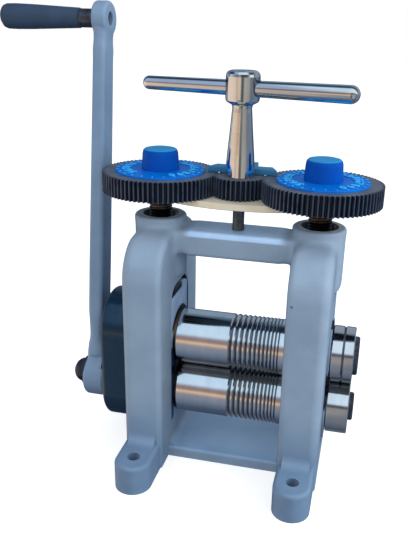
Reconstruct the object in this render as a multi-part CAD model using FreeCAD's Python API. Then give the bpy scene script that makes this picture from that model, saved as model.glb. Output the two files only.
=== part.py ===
import FreeCAD, Part
import math
import os

from FreeCAD import Vector

os.makedirs("parts", exist_ok=True)

# Fits: on the radius for round pieces, between faces for the others.
RUNNING_FIT = 0.05
SLIDING_FIT = 0.2
FACE_FIT = 0.2
THRUST_FIT = 0.1
END_PLAY = 0.3

# Rolls: 50 mm across the barrel, lying along X, one above the other.
ROLL_RADIUS = 25.0
BARREL_HALF = 49.0
LOW_AXIS = 56.5
REST_GAP = 1.0
HIGH_AXIS = LOW_AXIS + 2 * ROLL_RADIUS + REST_GAP
JOURNAL_RADIUS = 14.0
SEAT_RADIUS = 12.0
EDGE_BREAK = 0.8
SMALL_EDGE = 0.6
SHAFT_SHORTFALL = 0.2
CRANK_THREAD_LENGTH = 8.0

# Wire grooves in the right half of the barrels, each narrower than the last.
WIRE_GROOVES = 12
WIDEST_GROOVE = 3.6
GROOVE_STEP = 0.2
GROOVE_LAND = 1.35
FIRST_GROOVE = -1.2
GROOVE_SLOPE = 0.45

# Bushes and bearing blocks in the windows of the uprights.
BUSH_RADIUS = 17.0
BUSH_FLANGE = 23.5
BUSH_FLANGE_THICK = 2.2
BLOCK_SPLIT = 20.5
BLOCK_CROWN = 49.5
BLOCK_FLANGE_THICK = 1.5
BLOCK_FLANGE_RADIUS = 31.0
BLOCK_FLANGE_CROWN = 27.0
BLOCK_CORNER = 15.0
SOCKET_DEPTH = 7.0
SOCKET_FIT = 0.4
SPRING_Y = 21.6
SPRING_COIL = 3.1
SPRING_WIRE = 0.9
SPRING_TURNS = 4
SPRING_DEPTH = 4.0

# Frame casting.
UPRIGHT_THICK = 34.5
INNER_FACE = BARREL_HALF + END_PLAY + BUSH_FLANGE_THICK
OUTER_FACE = INNER_FACE + UPRIGHT_THICK
SCREW_X = (INNER_FACE + OUTER_FACE) / 2
WINDOW_HALF = 27.5
WINDOW_FLOOR = LOW_AXIS - 26.0
WINDOW_CORNER = 16.0
BLOCK_TOP = HIGH_AXIS + BLOCK_CROWN
LIFT_ROOM = 5.0
WINDOW_TOP = BLOCK_TOP + LIFT_ROOM
FRAME_HALF_DEPTH = 60.0
FRAME_TOP = WINDOW_TOP + 51.5
SHOULDER_RADIUS = 38.0
OUTER_ROUND = 8.5
INNER_ROUND = 5.0
BOSS_HEIGHT = 9.0
BOSS_TOP = FRAME_TOP + BOSS_HEIGHT
BOSS_RADIUS = 22.5
BOSS_FOOT = WINDOW_TOP + 3.0
BOSS_FOOT_ROUND = 9.0
BOSS_RIM_ROUND = 2.5
BAR_HALF_DEPTH = 18.6
BAR_HEIGHT = 22.3
BASE_HALF_DEPTH = 37.5
BASE_THICK = 10.0
CAST_ROUND = 3.0
BASE_COVE = 7.0

# Bolting lugs at the four feet.
LUG_RADIUS = 15.9
LUG_THICK = 26.4
LUG_REACH = 24.2
LUG_HOLE_REACH = 22.2
LUG_COVE = 9.0
LUG_COVE_HALF = 12.0
LUG_ROUND = 3.5
LUG_ROOT = 6.0
BOLT_HOLE_RADIUS = 5.5

# Screws and their nuts.
SCREW_RADIUS = 10.0
SCREW_TIP = 8.0
SCREW_NECK = 9.0
SCREW_END = 6.0
FLAT_HALF = 6.4
SHOULDER_ABOVE = 2.5
TIP_CONE = 1.5
NECK_BELOW_LINK = 0.3
SCREW_END_LENGTH = 10.5
NUT_RADIUS = 14.0
NUT_LENGTH = 30.0
NUT_DEPTH = 6.5
MOUTH_RADIUS = 15.2
SCREW_ROOM = 1.2

# Dial gears and pinion, whose teeth fill the distance between the screws.
DIAL_TEETH = 77
PINION_TEETH = 33
GEAR_MODULE = 2 * SCREW_X / (DIAL_TEETH + PINION_TEETH)
TOOTH_HALF = 0.92
TOOTH_ADDENDUM = 0.95
TOOTH_DEDENDUM = 1.3
TOOTH_ANGLE = 20.0
TOOTH_STEPS = 2
ROOT_FILLET = 0.3
GEAR_THICK = 16.7
GEAR_BOTTOM = BOSS_TOP + 20.3
GEAR_TOP = GEAR_BOTTOM + GEAR_THICK
LINK_THICK = 5.4
LINK_TOP = GEAR_BOTTOM - FACE_FIT
LINK_BOTTOM = LINK_TOP - LINK_THICK
DIAL_RADIUS = 38.0
DIAL_THICK = 1.4
CAP_HEIGHT = 17.4
CAP_BORE = 10.5
CAP_ROOM = 10.5
CAP_FOOT = 16.0
CAP_SIDE_BELOW = 3.9
CAP_SIDE = 15.0
CAP_EDGE_BELOW = 1.6
CAP_EDGE = 14.4
CAP_ROUND_BELOW = 0.4
CAP_ROUND = 13.2
CAP_CROWN = 11.6
DIAL_EDGE = 0.5
DIAL_BORE_ROOM = 0.4
DIAL_NUT_THICK = 7.5
DIAL_NUT_HALF = 9.0
LINK_SHOULDER = 2.75
LINK_REACH = 13.25
LINK_SHOULDER_HALF = 13.5
LINK_BELLY = 29.5
LINK_TAIL_HALF = 9.0
LINK_TAIL_START = 20.0
TAIL_REACH = 6.5
KEEPER_THICK = 4.6
KEEPER_HALF = SCREW_X - DIAL_RADIUS - 1.25
KEEPER_FRONT = 8.0
KEEPER_REAR_HALF = KEEPER_HALF - 5.5
KEEPER_REAR = 20.5
KEEPER_TAB_HALF = 9.0
KEEPER_ROOM = 0.5
KEEPER_SCREW_LENGTH = 10.7
KEEPER_HEAD_THICK = 3.2
KEEPER_HEAD_RADIUS = 4.3
KEEPER_SOCKET_START = 1.2
POST_Y = 31.0
POST_RADIUS = 5.5
POST_TENON = 3.5
POST_SCREW = 2.5

# T handle on its guide pin.
HUB_HEIGHT = 329.9
STEM_RADIUS = 12.5
PINION_BORE = 9.0
PIN_RADIUS = 5.0
STEM_BORE = PIN_RADIUS + 2 * RUNNING_FIT
PIN_TOP = HUB_HEIGHT - 29.9
PIN_SEAT = 18.0
PIN_HOLE_ROOM = 4.0
PIN_EDGE = 1.0
FOOT_RISE = 2.5
CONE_MIDDLE_BELOW = 51.9
CONE_MIDDLE_RADIUS = 11.15
CONE_UPPER_BELOW = 33.9
CONE_UPPER_RADIUS = 9.5
NECK_BELOW = 18.4
NECK_RADIUS = 8.3
WAIST_BELOW = 15.4
WAIST_RADIUS = 8.0
HUB_FOOT = 12.9
HUB_FOOT_RADIUS = 8.6
HUB_LOW = 10.7
HUB_LOW_RADIUS = 12.6
HUB_LOW_EDGE = 9.5
HUB_EDGE_RADIUS = 13.5
HUB_SIDE_LOW = 7.9
HUB_RADIUS = 13.8
HUB_SIDE_HIGH = 9.1
HUB_HIGH = 11.1
HUB_HIGH_RADIUS = 13.4
HUB_CROWN = 12.7
HUB_CROWN_RADIUS = 12.2
HUB_TOP = 13.5
HUB_TOP_RADIUS = 10.4
BAR_SLIM = 5.6
BAR_THICK = 7.1
BAR_LEFT = -82.0
BAR_RIGHT = 86.0
TEE_TURN = -8.0

# Roll gears under their cover at the left.
JOURNAL_END = OUTER_FACE + 1.9
ROLL_GEAR_TEETH = 12
ROLL_GEAR_START = JOURNAL_END + 0.6
ROLL_GEAR_LENGTH = 20.0
ROLL_GEAR_END = ROLL_GEAR_START + ROLL_GEAR_LENGTH
CLIP_THICK = 1.0
CLIP_GROOVE = 11.2
COVER_FACE = OUTER_FACE + 30.0
COVER_RADIUS = 36.5
COVER_WALL = 2.6
COVER_RISE = 2.5
COVER_SCREW_Y = 31.6
COVER_SCREW_RADIUS = 2.0
COVER_SCREW_END = OUTER_FACE - 10.0
KEY_HALF = 2.5
KEY_LOW = 9.6
KEY_TALL = 4.8
KEY_INSET = 3.0
SIDE_KEY_START = 2.7
SIDE_KEY_END = 3.5
CRANK_KEY_START = 0.5
CLIP_NEAR = 0.2
CLIP_PLAY = 0.3
CLIP_RIM = 2.6
CLIP_MOUTH_HALF = 3.0
CLIP_MOUTH_TOP = 8.0
SHAFT_BEYOND_CLIP = 2.3
GEAR_TOOTH_HALF = 2.8
GEAR_ADDENDUM = 4.2
GEAR_DEDENDUM = 4.6
GEAR_ANGLE = 25.0
GEAR_FLANK_STEPS = 4
COVER_ROUND = 4.0
COVER_POST_RADIUS = 4.2
COVER_POST_INSET = 0.5
COVER_HEAD_RADIUS = 3.4
COVER_HEAD_THICK = 2.4
COVER_SHAFT_ROOM = 0.6

# Crank outside the cover.
CRANK_LENGTH = 325.0
CRANK_TILT = 8.0
HUB_OUT = COVER_FACE + 26.0
HUB_IN = COVER_FACE + 5.0
CRANK_SHOULDER = HUB_OUT - 2.5
CRANK_BORE = 11.0
CRANK_THREAD = 6.5
ARM_OUT = HUB_OUT - 2.6
ARM_THICK = 11.4
ARM_HALF = 12.0
ARM_START = 4.0
ARM_ROUND = 3.2
FLARE_START = 20.0
FLARE_END = 34.0
FLARE_WIDEN = 3.5
FLARE_NARROW = 0.5
FLARE_INSET = 0.6
CRANK_HUB_RADIUS = 22.0
CRANK_HUB_ROUND = 3.0
CRANK_NUT_HALF = 10.4
CRANK_NUT_ROUND = 12.0
CRANK_NUT_THICK = 5.0
CRANK_NUT_ROOM = 0.2
DOME_RADIUS = 10.2
DOME_HEIGHT = 7.7
DOME_STEPS = 5
DOME_FLAT = 14.0
EYE_OUT = HUB_OUT - 1.6
EYE_THICK = 13.5
EYE_RADIUS = 14.6
EYE_BORE = 5.6
EYE_ROUND = 2.6
COLLAR_LENGTH = 14.0
COLLAR_RADIUS = 7.8
SPINDLE_SEAT = 8.9
SPINDLE_RADIUS = 4.0
SPINDLE_LENGTH = 61.6
GRIP_LENGTH = 74.3
GRIP_END_FLAT = 4.5
GRIP_END_CORNER = 7.4
GRIP_END_ROUND = 9.6
GRIP_SWELL = 10.6
GRIP_THICKEST = 10.8
GRIP_HOLLOW = 10.4
GRIP_MIDDLE = 9.5
GRIP_NECK = 8.4
GRIP_FOOT = 7.6
GRIP_CORNER_AT = 0.6
GRIP_ROUND_AT = 2.4
GRIP_SWELL_AT = 5.0
GRIP_THICKEST_AT = 13.0
GRIP_HOLLOW_AT = 29.0
GRIP_MIDDLE_AT = 49.0
GRIP_FOOT_EDGE = 0.9

# Side rolls outside the right upright.
SIDE_START = JOURNAL_END + 0.4
SIDE_WIDTH = 19.2
SIDE_END = SIDE_START + SIDE_WIDTH
DISC_THICK = 4.0
END_SCREW_RADIUS = 3.0
END_SCREW_LENGTH = 13.5
END_SCREW_FLARE = 2.8
END_HOLE_FLARE = 3.0
HEAD_SINK = 0.2
SOCKET_SINK = 2.2
SOCKET_HALF = 2.0
UPPER_DISC_RADIUS = 17.0
LOWER_DISC_RADIUS = 12.6
DISC_EDGE = 1.2
SIDE_GROOVE_PLACE = 9.0
SIDE_GROOVE_HALF = 1.0
SIDE_GROOVE_DEPTH = 1.3


def rod(axis, first, last, radius, centre=(0.0, 0.0)):
    """Cylinder along an axis between two stations, given in either order."""
    low, high = sorted((first, last))
    if axis == "x":
        base = Vector(low, centre[0], centre[1])
        way = Vector(1, 0, 0)
    elif axis == "y":
        base = Vector(centre[0], low, centre[1])
        way = Vector(0, 1, 0)
    else:
        base = Vector(centre[0], centre[1], low)
        way = Vector(0, 0, 1)
    return Part.makeCylinder(radius, high - low, base, way)


def brick(xs, ys, zs):
    """Box between a pair of stations on each axis, given in either order."""
    low = Vector(min(xs), min(ys), min(zs))
    high = Vector(max(xs), max(ys), max(zs))
    return Part.makeBox(high.x - low.x, high.y - low.y, high.z - low.z, low)


def plate(points, way):
    """Straight-sided outline pushed along a direction."""
    return Part.Face(Part.makePolygon(points + [points[0]])).extrude(way)


def arched(half, floor, top, corner, first, last):
    """Upright slab between two X faces, square at its foot, with round shoulders."""
    slant = corner * (1 - math.sqrt(0.5))
    foot, foot_back = Vector(first, -half, floor), Vector(first, half, floor)
    front_low, front_high = Vector(first, -half, top - corner), Vector(first, corner - half, top)
    back_low, back_high = Vector(first, half, top - corner), Vector(first, half - corner, top)
    front = Part.Arc(front_low, Vector(first, slant - half, top - slant), front_high)
    back = Part.Arc(back_high, Vector(first, half - slant, top - slant), back_low)
    edges = [Part.makeLine(foot, front_low), front.toShape(), Part.makeLine(front_high, back_high),
             back.toShape(), Part.makeLine(back_low, foot_back), Part.makeLine(foot_back, foot)]
    return Part.Face(Part.Wire(edges)).extrude(Vector(last - first, 0, 0))


def turned_x(profile, height):
    """Solid turned about an axis along X: profile is (x, radius)."""
    points = [Vector(x, 0, height + r) for x, r in profile]
    points.insert(0, Vector(profile[0][0], 0, height))
    points.append(Vector(profile[-1][0], 0, height))
    face = Part.Face(Part.makePolygon(points + [points[0]]))
    return face.revolve(Vector(0, 0, height), Vector(1, 0, 0), 360)


def turned_z(profile, x):
    """Solid turned about an upright axis: profile is (z, radius)."""
    points = [Vector(x + r, 0, z) for z, r in profile]
    points.insert(0, Vector(x, 0, profile[0][0]))
    points.append(Vector(x, 0, profile[-1][0]))
    face = Part.Face(Part.makePolygon(points + [points[0]]))
    return face.revolve(Vector(x, 0, 0), Vector(0, 0, 1), 360)


def hexagon(axis, first, last, half_flat, centre):
    """Six-sided bar along X or Z."""
    reach = half_flat / math.cos(math.pi / 6)
    points = []
    for number in range(6):
        turn = number * math.pi / 3
        a, b = centre[0] + reach * math.cos(turn), centre[1] + reach * math.sin(turn)
        points.append(Vector(first, a, b) if axis == "x" else Vector(a, b, first))
    return plate(points, Vector(last - first, 0, 0) if axis == "x" else Vector(0, 0, last - first))


def rounded(shape, radius, wanted):
    """Round every edge whose middle point passes the test."""
    return shape.makeFillet(radius, [edge for edge in shape.Edges if wanted(edge.CenterOfMass)])


def only_solid(shape):
    """One clean solid out of a boolean result."""
    clean = shape.removeSplitter()
    return clean.Solids[0] if len(clean.Solids) == 1 else clean


def save(name, shape):
    shape.exportStep("parts/" + name + ".step")


def housing(side):
    """One upright of the frame: an arch-shouldered slab with rounded edges."""
    slab = arched(FRAME_HALF_DEPTH, 0, FRAME_TOP, SHOULDER_RADIUS, side * INNER_FACE,
                  side * OUTER_FACE)
    slab = rounded(slab, OUTER_ROUND, lambda p: abs(abs(p.x) - OUTER_FACE) < 0.01 and p.z > 1)
    return rounded(slab, INNER_ROUND, lambda p: abs(abs(p.x) - INNER_FACE) < 0.01 and p.z > 1)


def screw_boss(side):
    """Round boss over each upright, standing proud of both its faces."""
    boss = rod("z", BOSS_FOOT, BOSS_TOP, BOSS_RADIUS, (side * SCREW_X, 0))
    boss = rounded(boss, BOSS_FOOT_ROUND, lambda p: p.z < BOSS_FOOT + 1)
    return rounded(boss, BOSS_RIM_ROUND, lambda p: p.z > BOSS_TOP - 1)


def screw_bore(side):
    """Stepped bore for the screw and its nut."""
    centre = (side * SCREW_X, 0)
    nut_top = BOSS_TOP - NUT_DEPTH
    nut_bottom = nut_top - NUT_LENGTH
    bore = rod("z", WINDOW_TOP - 2, nut_bottom + 4, SCREW_RADIUS + SCREW_ROOM, centre)
    bore = bore.fuse(rod("z", nut_bottom, nut_top + 1, NUT_RADIUS, centre))
    return bore.fuse(rod("z", nut_top, BOSS_TOP + 1, MOUTH_RADIUS, centre))


def lug(side, way):
    """Bolting lug at one foot corner, with the cove at its root."""
    x, face = side * SCREW_X, way * FRAME_HALF_DEPTH
    tip = face + way * LUG_REACH
    pad = brick((x - LUG_RADIUS, x + LUG_RADIUS), (face - way * LUG_ROOT, tip), (0, LUG_THICK))
    pad = only_solid(pad.fuse(rod("z", 0, LUG_THICK, LUG_RADIUS, (x, tip))))
    start = FRAME_HALF_DEPTH - LUG_ROOT + 1
    pad = rounded(pad, LUG_ROUND, lambda p: p.z > LUG_THICK - 0.1 and way * p.y > start)
    edge, crest = face + way * LUG_COVE, LUG_THICK + LUG_COVE
    root = brick((x - LUG_COVE_HALF, x + LUG_COVE_HALF), (face - way, edge), (LUG_THICK - 1, crest))
    cove = rod("x", x - LUG_RADIUS, x + LUG_RADIUS, LUG_COVE, (edge, crest))
    return pad.fuse(root.cut(cove))


def base_cove(side):
    """Cove between the base plate and an upright."""
    depth = BASE_HALF_DEPTH - CAST_ROUND
    edge, crest = side * (INNER_FACE - BASE_COVE), BASE_THICK + BASE_COVE
    cove = brick((side * (INNER_FACE + 1), edge), (-depth, depth), (BASE_THICK - 1, crest))
    return cove.cut(rod("y", -depth - 1, depth + 1, BASE_COVE, (edge, crest)))


def cover_screw(way):
    """Place of a cover screw, in Y and Z."""
    return (way * COVER_SCREW_Y, (LOW_AXIS + HIGH_AXIS) / 2)


def frame():
    """One-piece casting: two uprights, top bar, base plate, bosses and lugs."""
    ends = (-INNER_FACE - 6, INNER_FACE + 6)
    bar = brick(ends, (-BAR_HALF_DEPTH, BAR_HALF_DEPTH), (FRAME_TOP - BAR_HEIGHT, FRAME_TOP))
    bar = rounded(bar, CAST_ROUND, lambda p: abs(p.x) < 1)
    base = brick(ends, (-BASE_HALF_DEPTH, BASE_HALF_DEPTH), (0, BASE_THICK))
    base = rounded(base, CAST_ROUND, lambda p: abs(p.x) < 1 and p.z > BASE_THICK - 1)
    solid = bar.fuse(base)
    for side in (-1, 1):
        solid = solid.fuse([housing(side), screw_boss(side), base_cove(side)])
        for way in (-1, 1):
            solid = solid.fuse(lug(side, way))
    for side in (-1, 1):
        window = arched(WINDOW_HALF, WINDOW_FLOOR, WINDOW_TOP, WINDOW_CORNER,
                        side * (INNER_FACE - 9), side * (OUTER_FACE + 9))
        solid = solid.cut(window).cut(screw_bore(side))
        for way in (-1, 1):
            centre = (side * SCREW_X, way * (FRAME_HALF_DEPTH + LUG_HOLE_REACH))
            solid = solid.cut(rod("z", -1, LUG_THICK + 1, BOLT_HOLE_RADIUS, centre))
    solid = solid.cut(rod("z", FRAME_TOP - PIN_SEAT, FRAME_TOP + 1, PIN_RADIUS))
    for way in (-1, 1):
        solid = solid.cut(rod("x", -OUTER_FACE - 1, 2 - COVER_SCREW_END, COVER_SCREW_RADIUS,
                              cover_screw(way)))
    save("frame", only_solid(solid))


def screw_nuts():
    """Bronze nut pressed into each boss."""
    top = BOSS_TOP - NUT_DEPTH
    bottom = top - NUT_LENGTH
    for side, name in ((-1, "left"), (1, "right")):
        nut = turned_z([(bottom, NUT_RADIUS), (top - EDGE_BREAK, NUT_RADIUS),
                        (top, NUT_RADIUS - EDGE_BREAK)], side * SCREW_X)
        hole = rod("z", bottom - 1, top + 1, SCREW_RADIUS + RUNNING_FIT, (side * SCREW_X, 0))
        save(name + "_screw_nut", nut.cut(hole))


def bearing_block(side, high):
    """Sliding block with an outer thrust flange, a bush bore and spring pockets."""
    axis = HIGH_AXIS if high else LOW_AXIS
    bottom = HIGH_AXIS - BLOCK_SPLIT if high else WINDOW_FLOOR
    top = BLOCK_TOP if high else LOW_AXIS + BLOCK_SPLIT
    faces = (side * INNER_FACE, side * (OUTER_FACE - THRUST_FIT))
    block_half = WINDOW_HALF - SLIDING_FIT
    if high:
        body = arched(block_half, bottom, top, BLOCK_CORNER, *faces)
    else:
        body = brick(faces, (-block_half, block_half), (bottom, top))
    flange_in = OUTER_FACE + THRUST_FIT
    flange = rod("x", side * flange_in, side * (flange_in + BLOCK_FLANGE_THICK),
                 BLOCK_FLANGE_RADIUS, (0, axis))
    neck = rod("x", side * (OUTER_FACE - 1), side * (OUTER_FACE + 1), block_half, (0, axis))
    crest = axis + BLOCK_FLANGE_CROWN if high else top
    shelf = bottom if high else WINDOW_FLOOR
    reach = BLOCK_FLANGE_RADIUS + 1
    room = brick((-2 * OUTER_FACE, 2 * OUTER_FACE), (-reach, reach), (shelf, crest))
    solid = only_solid(body.fuse(flange.fuse(neck).common(room)))
    solid = solid.cut(rod("x", -2 * OUTER_FACE, 2 * OUTER_FACE, BUSH_RADIUS, (0, axis)))
    split, inward = (bottom, 1) if high else (top, -1)
    for way in (-1, 1):
        centre = (side * SCREW_X, way * SPRING_Y)
        pocket = SPRING_COIL + SPRING_WIRE + SLIDING_FIT
        solid = solid.cut(rod("z", split - inward, split + inward * SPRING_DEPTH, pocket, centre))
    if high:
        socket = rod("z", top - SOCKET_DEPTH, top + 1, SCREW_TIP + SOCKET_FIT, (side * SCREW_X, 0))
        solid = solid.cut(socket)
    return solid


def bearings():
    """Four bearing blocks, each with the flanged bush that is pressed into it."""
    for side, hand in ((-1, "left"), (1, "right")):
        for high, level in ((False, "lower"), (True, "upper")):
            save(hand + "_" + level + "_block", bearing_block(side, high))
            axis = HIGH_AXIS if high else LOW_AXIS
            end = OUTER_FACE + THRUST_FIT + BLOCK_FLANGE_THICK
            bush = rod("x", side * INNER_FACE, side * end, BUSH_RADIUS, (0, axis))
            bush = bush.fuse(rod("x", side * (BARREL_HALF + END_PLAY), side * INNER_FACE,
                                 BUSH_FLANGE, (0, axis)))
            hole = rod("x", side * BARREL_HALF, side * (end + 1), JOURNAL_RADIUS + RUNNING_FIT,
                       (0, axis))
            save(hand + "_" + level + "_bush", only_solid(bush.cut(hole)))


def arc_leaving(start, way, end):
    """Round stretch that leaves a point along a direction and ends at another."""
    chord = end - start
    reach = chord.Length * chord.Length / (2 * chord.dot(way))
    corner = start + way * reach
    lean = math.cos(way.getAngle(end - corner) / 2)
    middle = (start + corner * (2 * lean) + end) * (1 / (2 + 2 * lean))
    return Part.Arc(start, middle, end).toShape()


def coil(bottom, top, centre):
    """Wire wound from one height to another, on pairs of arcs of a quarter turn."""
    quarters = 4 * SPRING_TURNS
    rise = (top - bottom - 2 * SPRING_WIRE) / quarters
    steep = math.hypot(SPRING_COIL * math.pi / 2, rise)

    def place(number):
        turn = number * math.pi / 2
        return Vector(centre[0] + SPRING_COIL * math.cos(turn),
                      centre[1] + SPRING_COIL * math.sin(turn),
                      bottom + SPRING_WIRE + rise * number)

    def heading(number):
        turn = number * math.pi / 2
        run = SPRING_COIL * math.pi / 2 / steep
        return Vector(-run * math.sin(turn), run * math.cos(turn), rise / steep)

    edges = []
    for number in range(quarters):
        start, end = place(number), place(number + 1)
        leave, arrive = heading(number), heading(number + 1)
        chord, both = end - start, leave + arrive
        spread = 2 * (1 - leave.dot(arrive))
        along = chord.dot(both)
        reach = (math.sqrt(along * along + spread * chord.dot(chord)) - along) / spread
        joint = (start + leave * reach + end - arrive * reach) * 0.5
        edges.append(arc_leaving(start, leave, joint))
        back = arc_leaving(end, arrive * -1, joint)
        edges.append(back)
    path = Part.Wire(Part.__sortEdges__(edges))
    ring = Part.Wire(Part.makeCircle(SPRING_WIRE, place(0), heading(0)))
    print("least gap between turns", round(4 * rise - 2 * SPRING_WIRE, 2))
    return Part.Solid(path.makePipeShell([ring], True, False))


def springs():
    """Pair of coil springs that hold each upper block up against its screw."""
    bottom = LOW_AXIS + BLOCK_SPLIT - SPRING_DEPTH
    top = HIGH_AXIS - BLOCK_SPLIT + SPRING_DEPTH
    for side, hand in ((-1, "left"), (1, "right")):
        pair = [coil(bottom, top, (side * SCREW_X, way * SPRING_Y)) for way in (-1, 1)]
        save(hand + "_springs", Part.makeCompound(pair))


def roll_profile(left_steps):
    """Turned outline of a roll from its left end to its right end."""
    profile = list(left_steps)
    profile += [(-BARREL_HALF, JOURNAL_RADIUS), (-BARREL_HALF, ROLL_RADIUS - EDGE_BREAK),
                (-BARREL_HALF + EDGE_BREAK, ROLL_RADIUS)]
    start = FIRST_GROOVE
    for number in range(WIRE_GROOVES):
        width = WIDEST_GROOVE - GROOVE_STEP * number
        profile += [(start, ROLL_RADIUS), (start + width / 2, ROLL_RADIUS - GROOVE_SLOPE * width),
                    (start + width, ROLL_RADIUS)]
        start += width + GROOVE_LAND
    profile += [(BARREL_HALF - EDGE_BREAK, ROLL_RADIUS), (BARREL_HALF, ROLL_RADIUS - EDGE_BREAK),
                (BARREL_HALF, JOURNAL_RADIUS), (JOURNAL_END, JOURNAL_RADIUS),
                (JOURNAL_END, SEAT_RADIUS), (SIDE_END - SHAFT_SHORTFALL, SEAT_RADIUS)]
    return profile


def key_bar(axis, first, last):
    """Bar of the size of a key, on top of a seat."""
    return brick((first, last), (-KEY_HALF, KEY_HALF), (axis + KEY_LOW, axis + KEY_LOW + KEY_TALL))


def side_key(axis):
    """Key under a side roll."""
    return key_bar(axis, SIDE_START + SIDE_KEY_START, SIDE_END - SIDE_KEY_END)


def gear_key(axis):
    """Key under a roll gear."""
    return key_bar(axis, -ROLL_GEAR_END + KEY_INSET, -ROLL_GEAR_START - KEY_INSET)


def crank_key():
    """Key in the crank's hub, one millimetre lower than those on the wider seats."""
    key = key_bar(LOW_AXIS, CRANK_KEY_START - CRANK_SHOULDER, -HUB_IN - KEY_INSET)
    key.translate(Vector(0, 0, CRANK_BORE - SEAT_RADIUS))
    return key


def rolls():
    """Upper and lower rolls with their shafts, key slots and circlip grooves."""
    clip = ROLL_GEAR_END + CLIP_NEAR
    seat_end = clip + CLIP_THICK + SHAFT_BEYOND_CLIP
    groove_end = clip + CLIP_THICK + CLIP_NEAR
    shared = [(-groove_end, SEAT_RADIUS), (-groove_end, CLIP_GROOVE),
              (-clip, CLIP_GROOVE), (-clip, SEAT_RADIUS),
              (-JOURNAL_END, SEAT_RADIUS), (-JOURNAL_END, JOURNAL_RADIUS)]
    short = [(-seat_end, SEAT_RADIUS - SMALL_EDGE), (SMALL_EDGE - seat_end, SEAT_RADIUS)] + shared
    long = [(-HUB_OUT - CRANK_THREAD_LENGTH, CRANK_THREAD), (-CRANK_SHOULDER, CRANK_THREAD),
            (-CRANK_SHOULDER, CRANK_BORE), (-seat_end - 1, CRANK_BORE),
            (-seat_end - 1, SEAT_RADIUS)] + shared
    for name, axis, steps in (("upper", HIGH_AXIS, short), ("lower", LOW_AXIS, long)):
        roll = turned_x(roll_profile(steps), axis)
        roll = roll.cut(gear_key(axis)).cut(side_key(axis))
        hole_end = SIDE_END - END_SCREW_LENGTH - 1
        roll = roll.cut(rod("x", hole_end, SIDE_END, END_SCREW_RADIUS, (0, axis)))
        if name == "lower":
            roll = roll.cut(crank_key())
        save(name + "_roll", only_solid(roll))


def side_rolls():
    """Short roll ends outside the right upright, with keys, discs and screws."""
    face = SIDE_END + DISC_THICK
    sink = SIDE_END + 1
    for name, axis, disc_radius in (("upper", HIGH_AXIS, UPPER_DISC_RADIUS),
                                    ("lower", LOW_AXIS, LOWER_DISC_RADIUS)):
        outline = [(SIDE_START, ROLL_RADIUS - SMALL_EDGE), (SIDE_START + SMALL_EDGE, ROLL_RADIUS)]
        if name == "upper":
            groove = SIDE_START + SIDE_GROOVE_PLACE
            outline += [(groove, ROLL_RADIUS),
                        (groove + SIDE_GROOVE_HALF, ROLL_RADIUS - SIDE_GROOVE_DEPTH),
                        (groove + 2 * SIDE_GROOVE_HALF, ROLL_RADIUS)]
        outline += [(SIDE_END - EDGE_BREAK, ROLL_RADIUS), (SIDE_END, ROLL_RADIUS - EDGE_BREAK)]
        wheel = turned_x(outline, axis)
        wheel = wheel.cut(rod("x", SIDE_START - 1, SIDE_END + 1, SEAT_RADIUS, (0, axis)))
        wheel = wheel.cut(key_bar(axis, SIDE_START - 1, SIDE_END + 1))
        save(name + "_side_roll", only_solid(wheel))
        save(name + "_side_key", side_key(axis))
        disc = turned_x([(SIDE_END, disc_radius), (face - DISC_EDGE, disc_radius),
                         (face, disc_radius - DISC_EDGE)], axis)
        hole = turned_x([(SIDE_END - FACE_FIT, END_SCREW_RADIUS), (sink, END_SCREW_RADIUS),
                         (face, END_SCREW_RADIUS + END_HOLE_FLARE)], axis)
        save(name + "_end_disc", disc.cut(hole))
        screw = turned_x([(SIDE_END - END_SCREW_LENGTH, END_SCREW_RADIUS),
                          (sink, END_SCREW_RADIUS),
                          (face - HEAD_SINK, END_SCREW_RADIUS + END_SCREW_FLARE)], axis)
        socket = hexagon("x", face - SOCKET_SINK, face + 1, SOCKET_HALF, (0, axis))
        save(name + "_end_screw", screw.cut(socket))


def gear_points(teeth, pitch_radius, half_tooth, outer, root, angle, steps, turn):
    """Outline of a gear from its involute flanks, first tooth at the given turn."""
    base = pitch_radius * math.cos(angle)
    start = half_tooth / pitch_radius + math.tan(angle) - angle

    def half(radius):
        if radius <= base:
            return start
        lean = math.acos(base / radius)
        return start - math.tan(lean) + lean

    low = max(base, root + ROOT_FILLET)
    radii = [root] + [low + (outer - low) * n / (steps - 1) for n in range(steps)]
    points = []
    for number in range(teeth):
        middle = turn + 2 * math.pi * number / teeth
        points += [(radius, middle - half(radius)) for radius in radii]
        points += [(radius, middle + half(radius)) for radius in reversed(radii)]
    return [(r * math.cos(a), r * math.sin(a)) for r, a in points]


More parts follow.
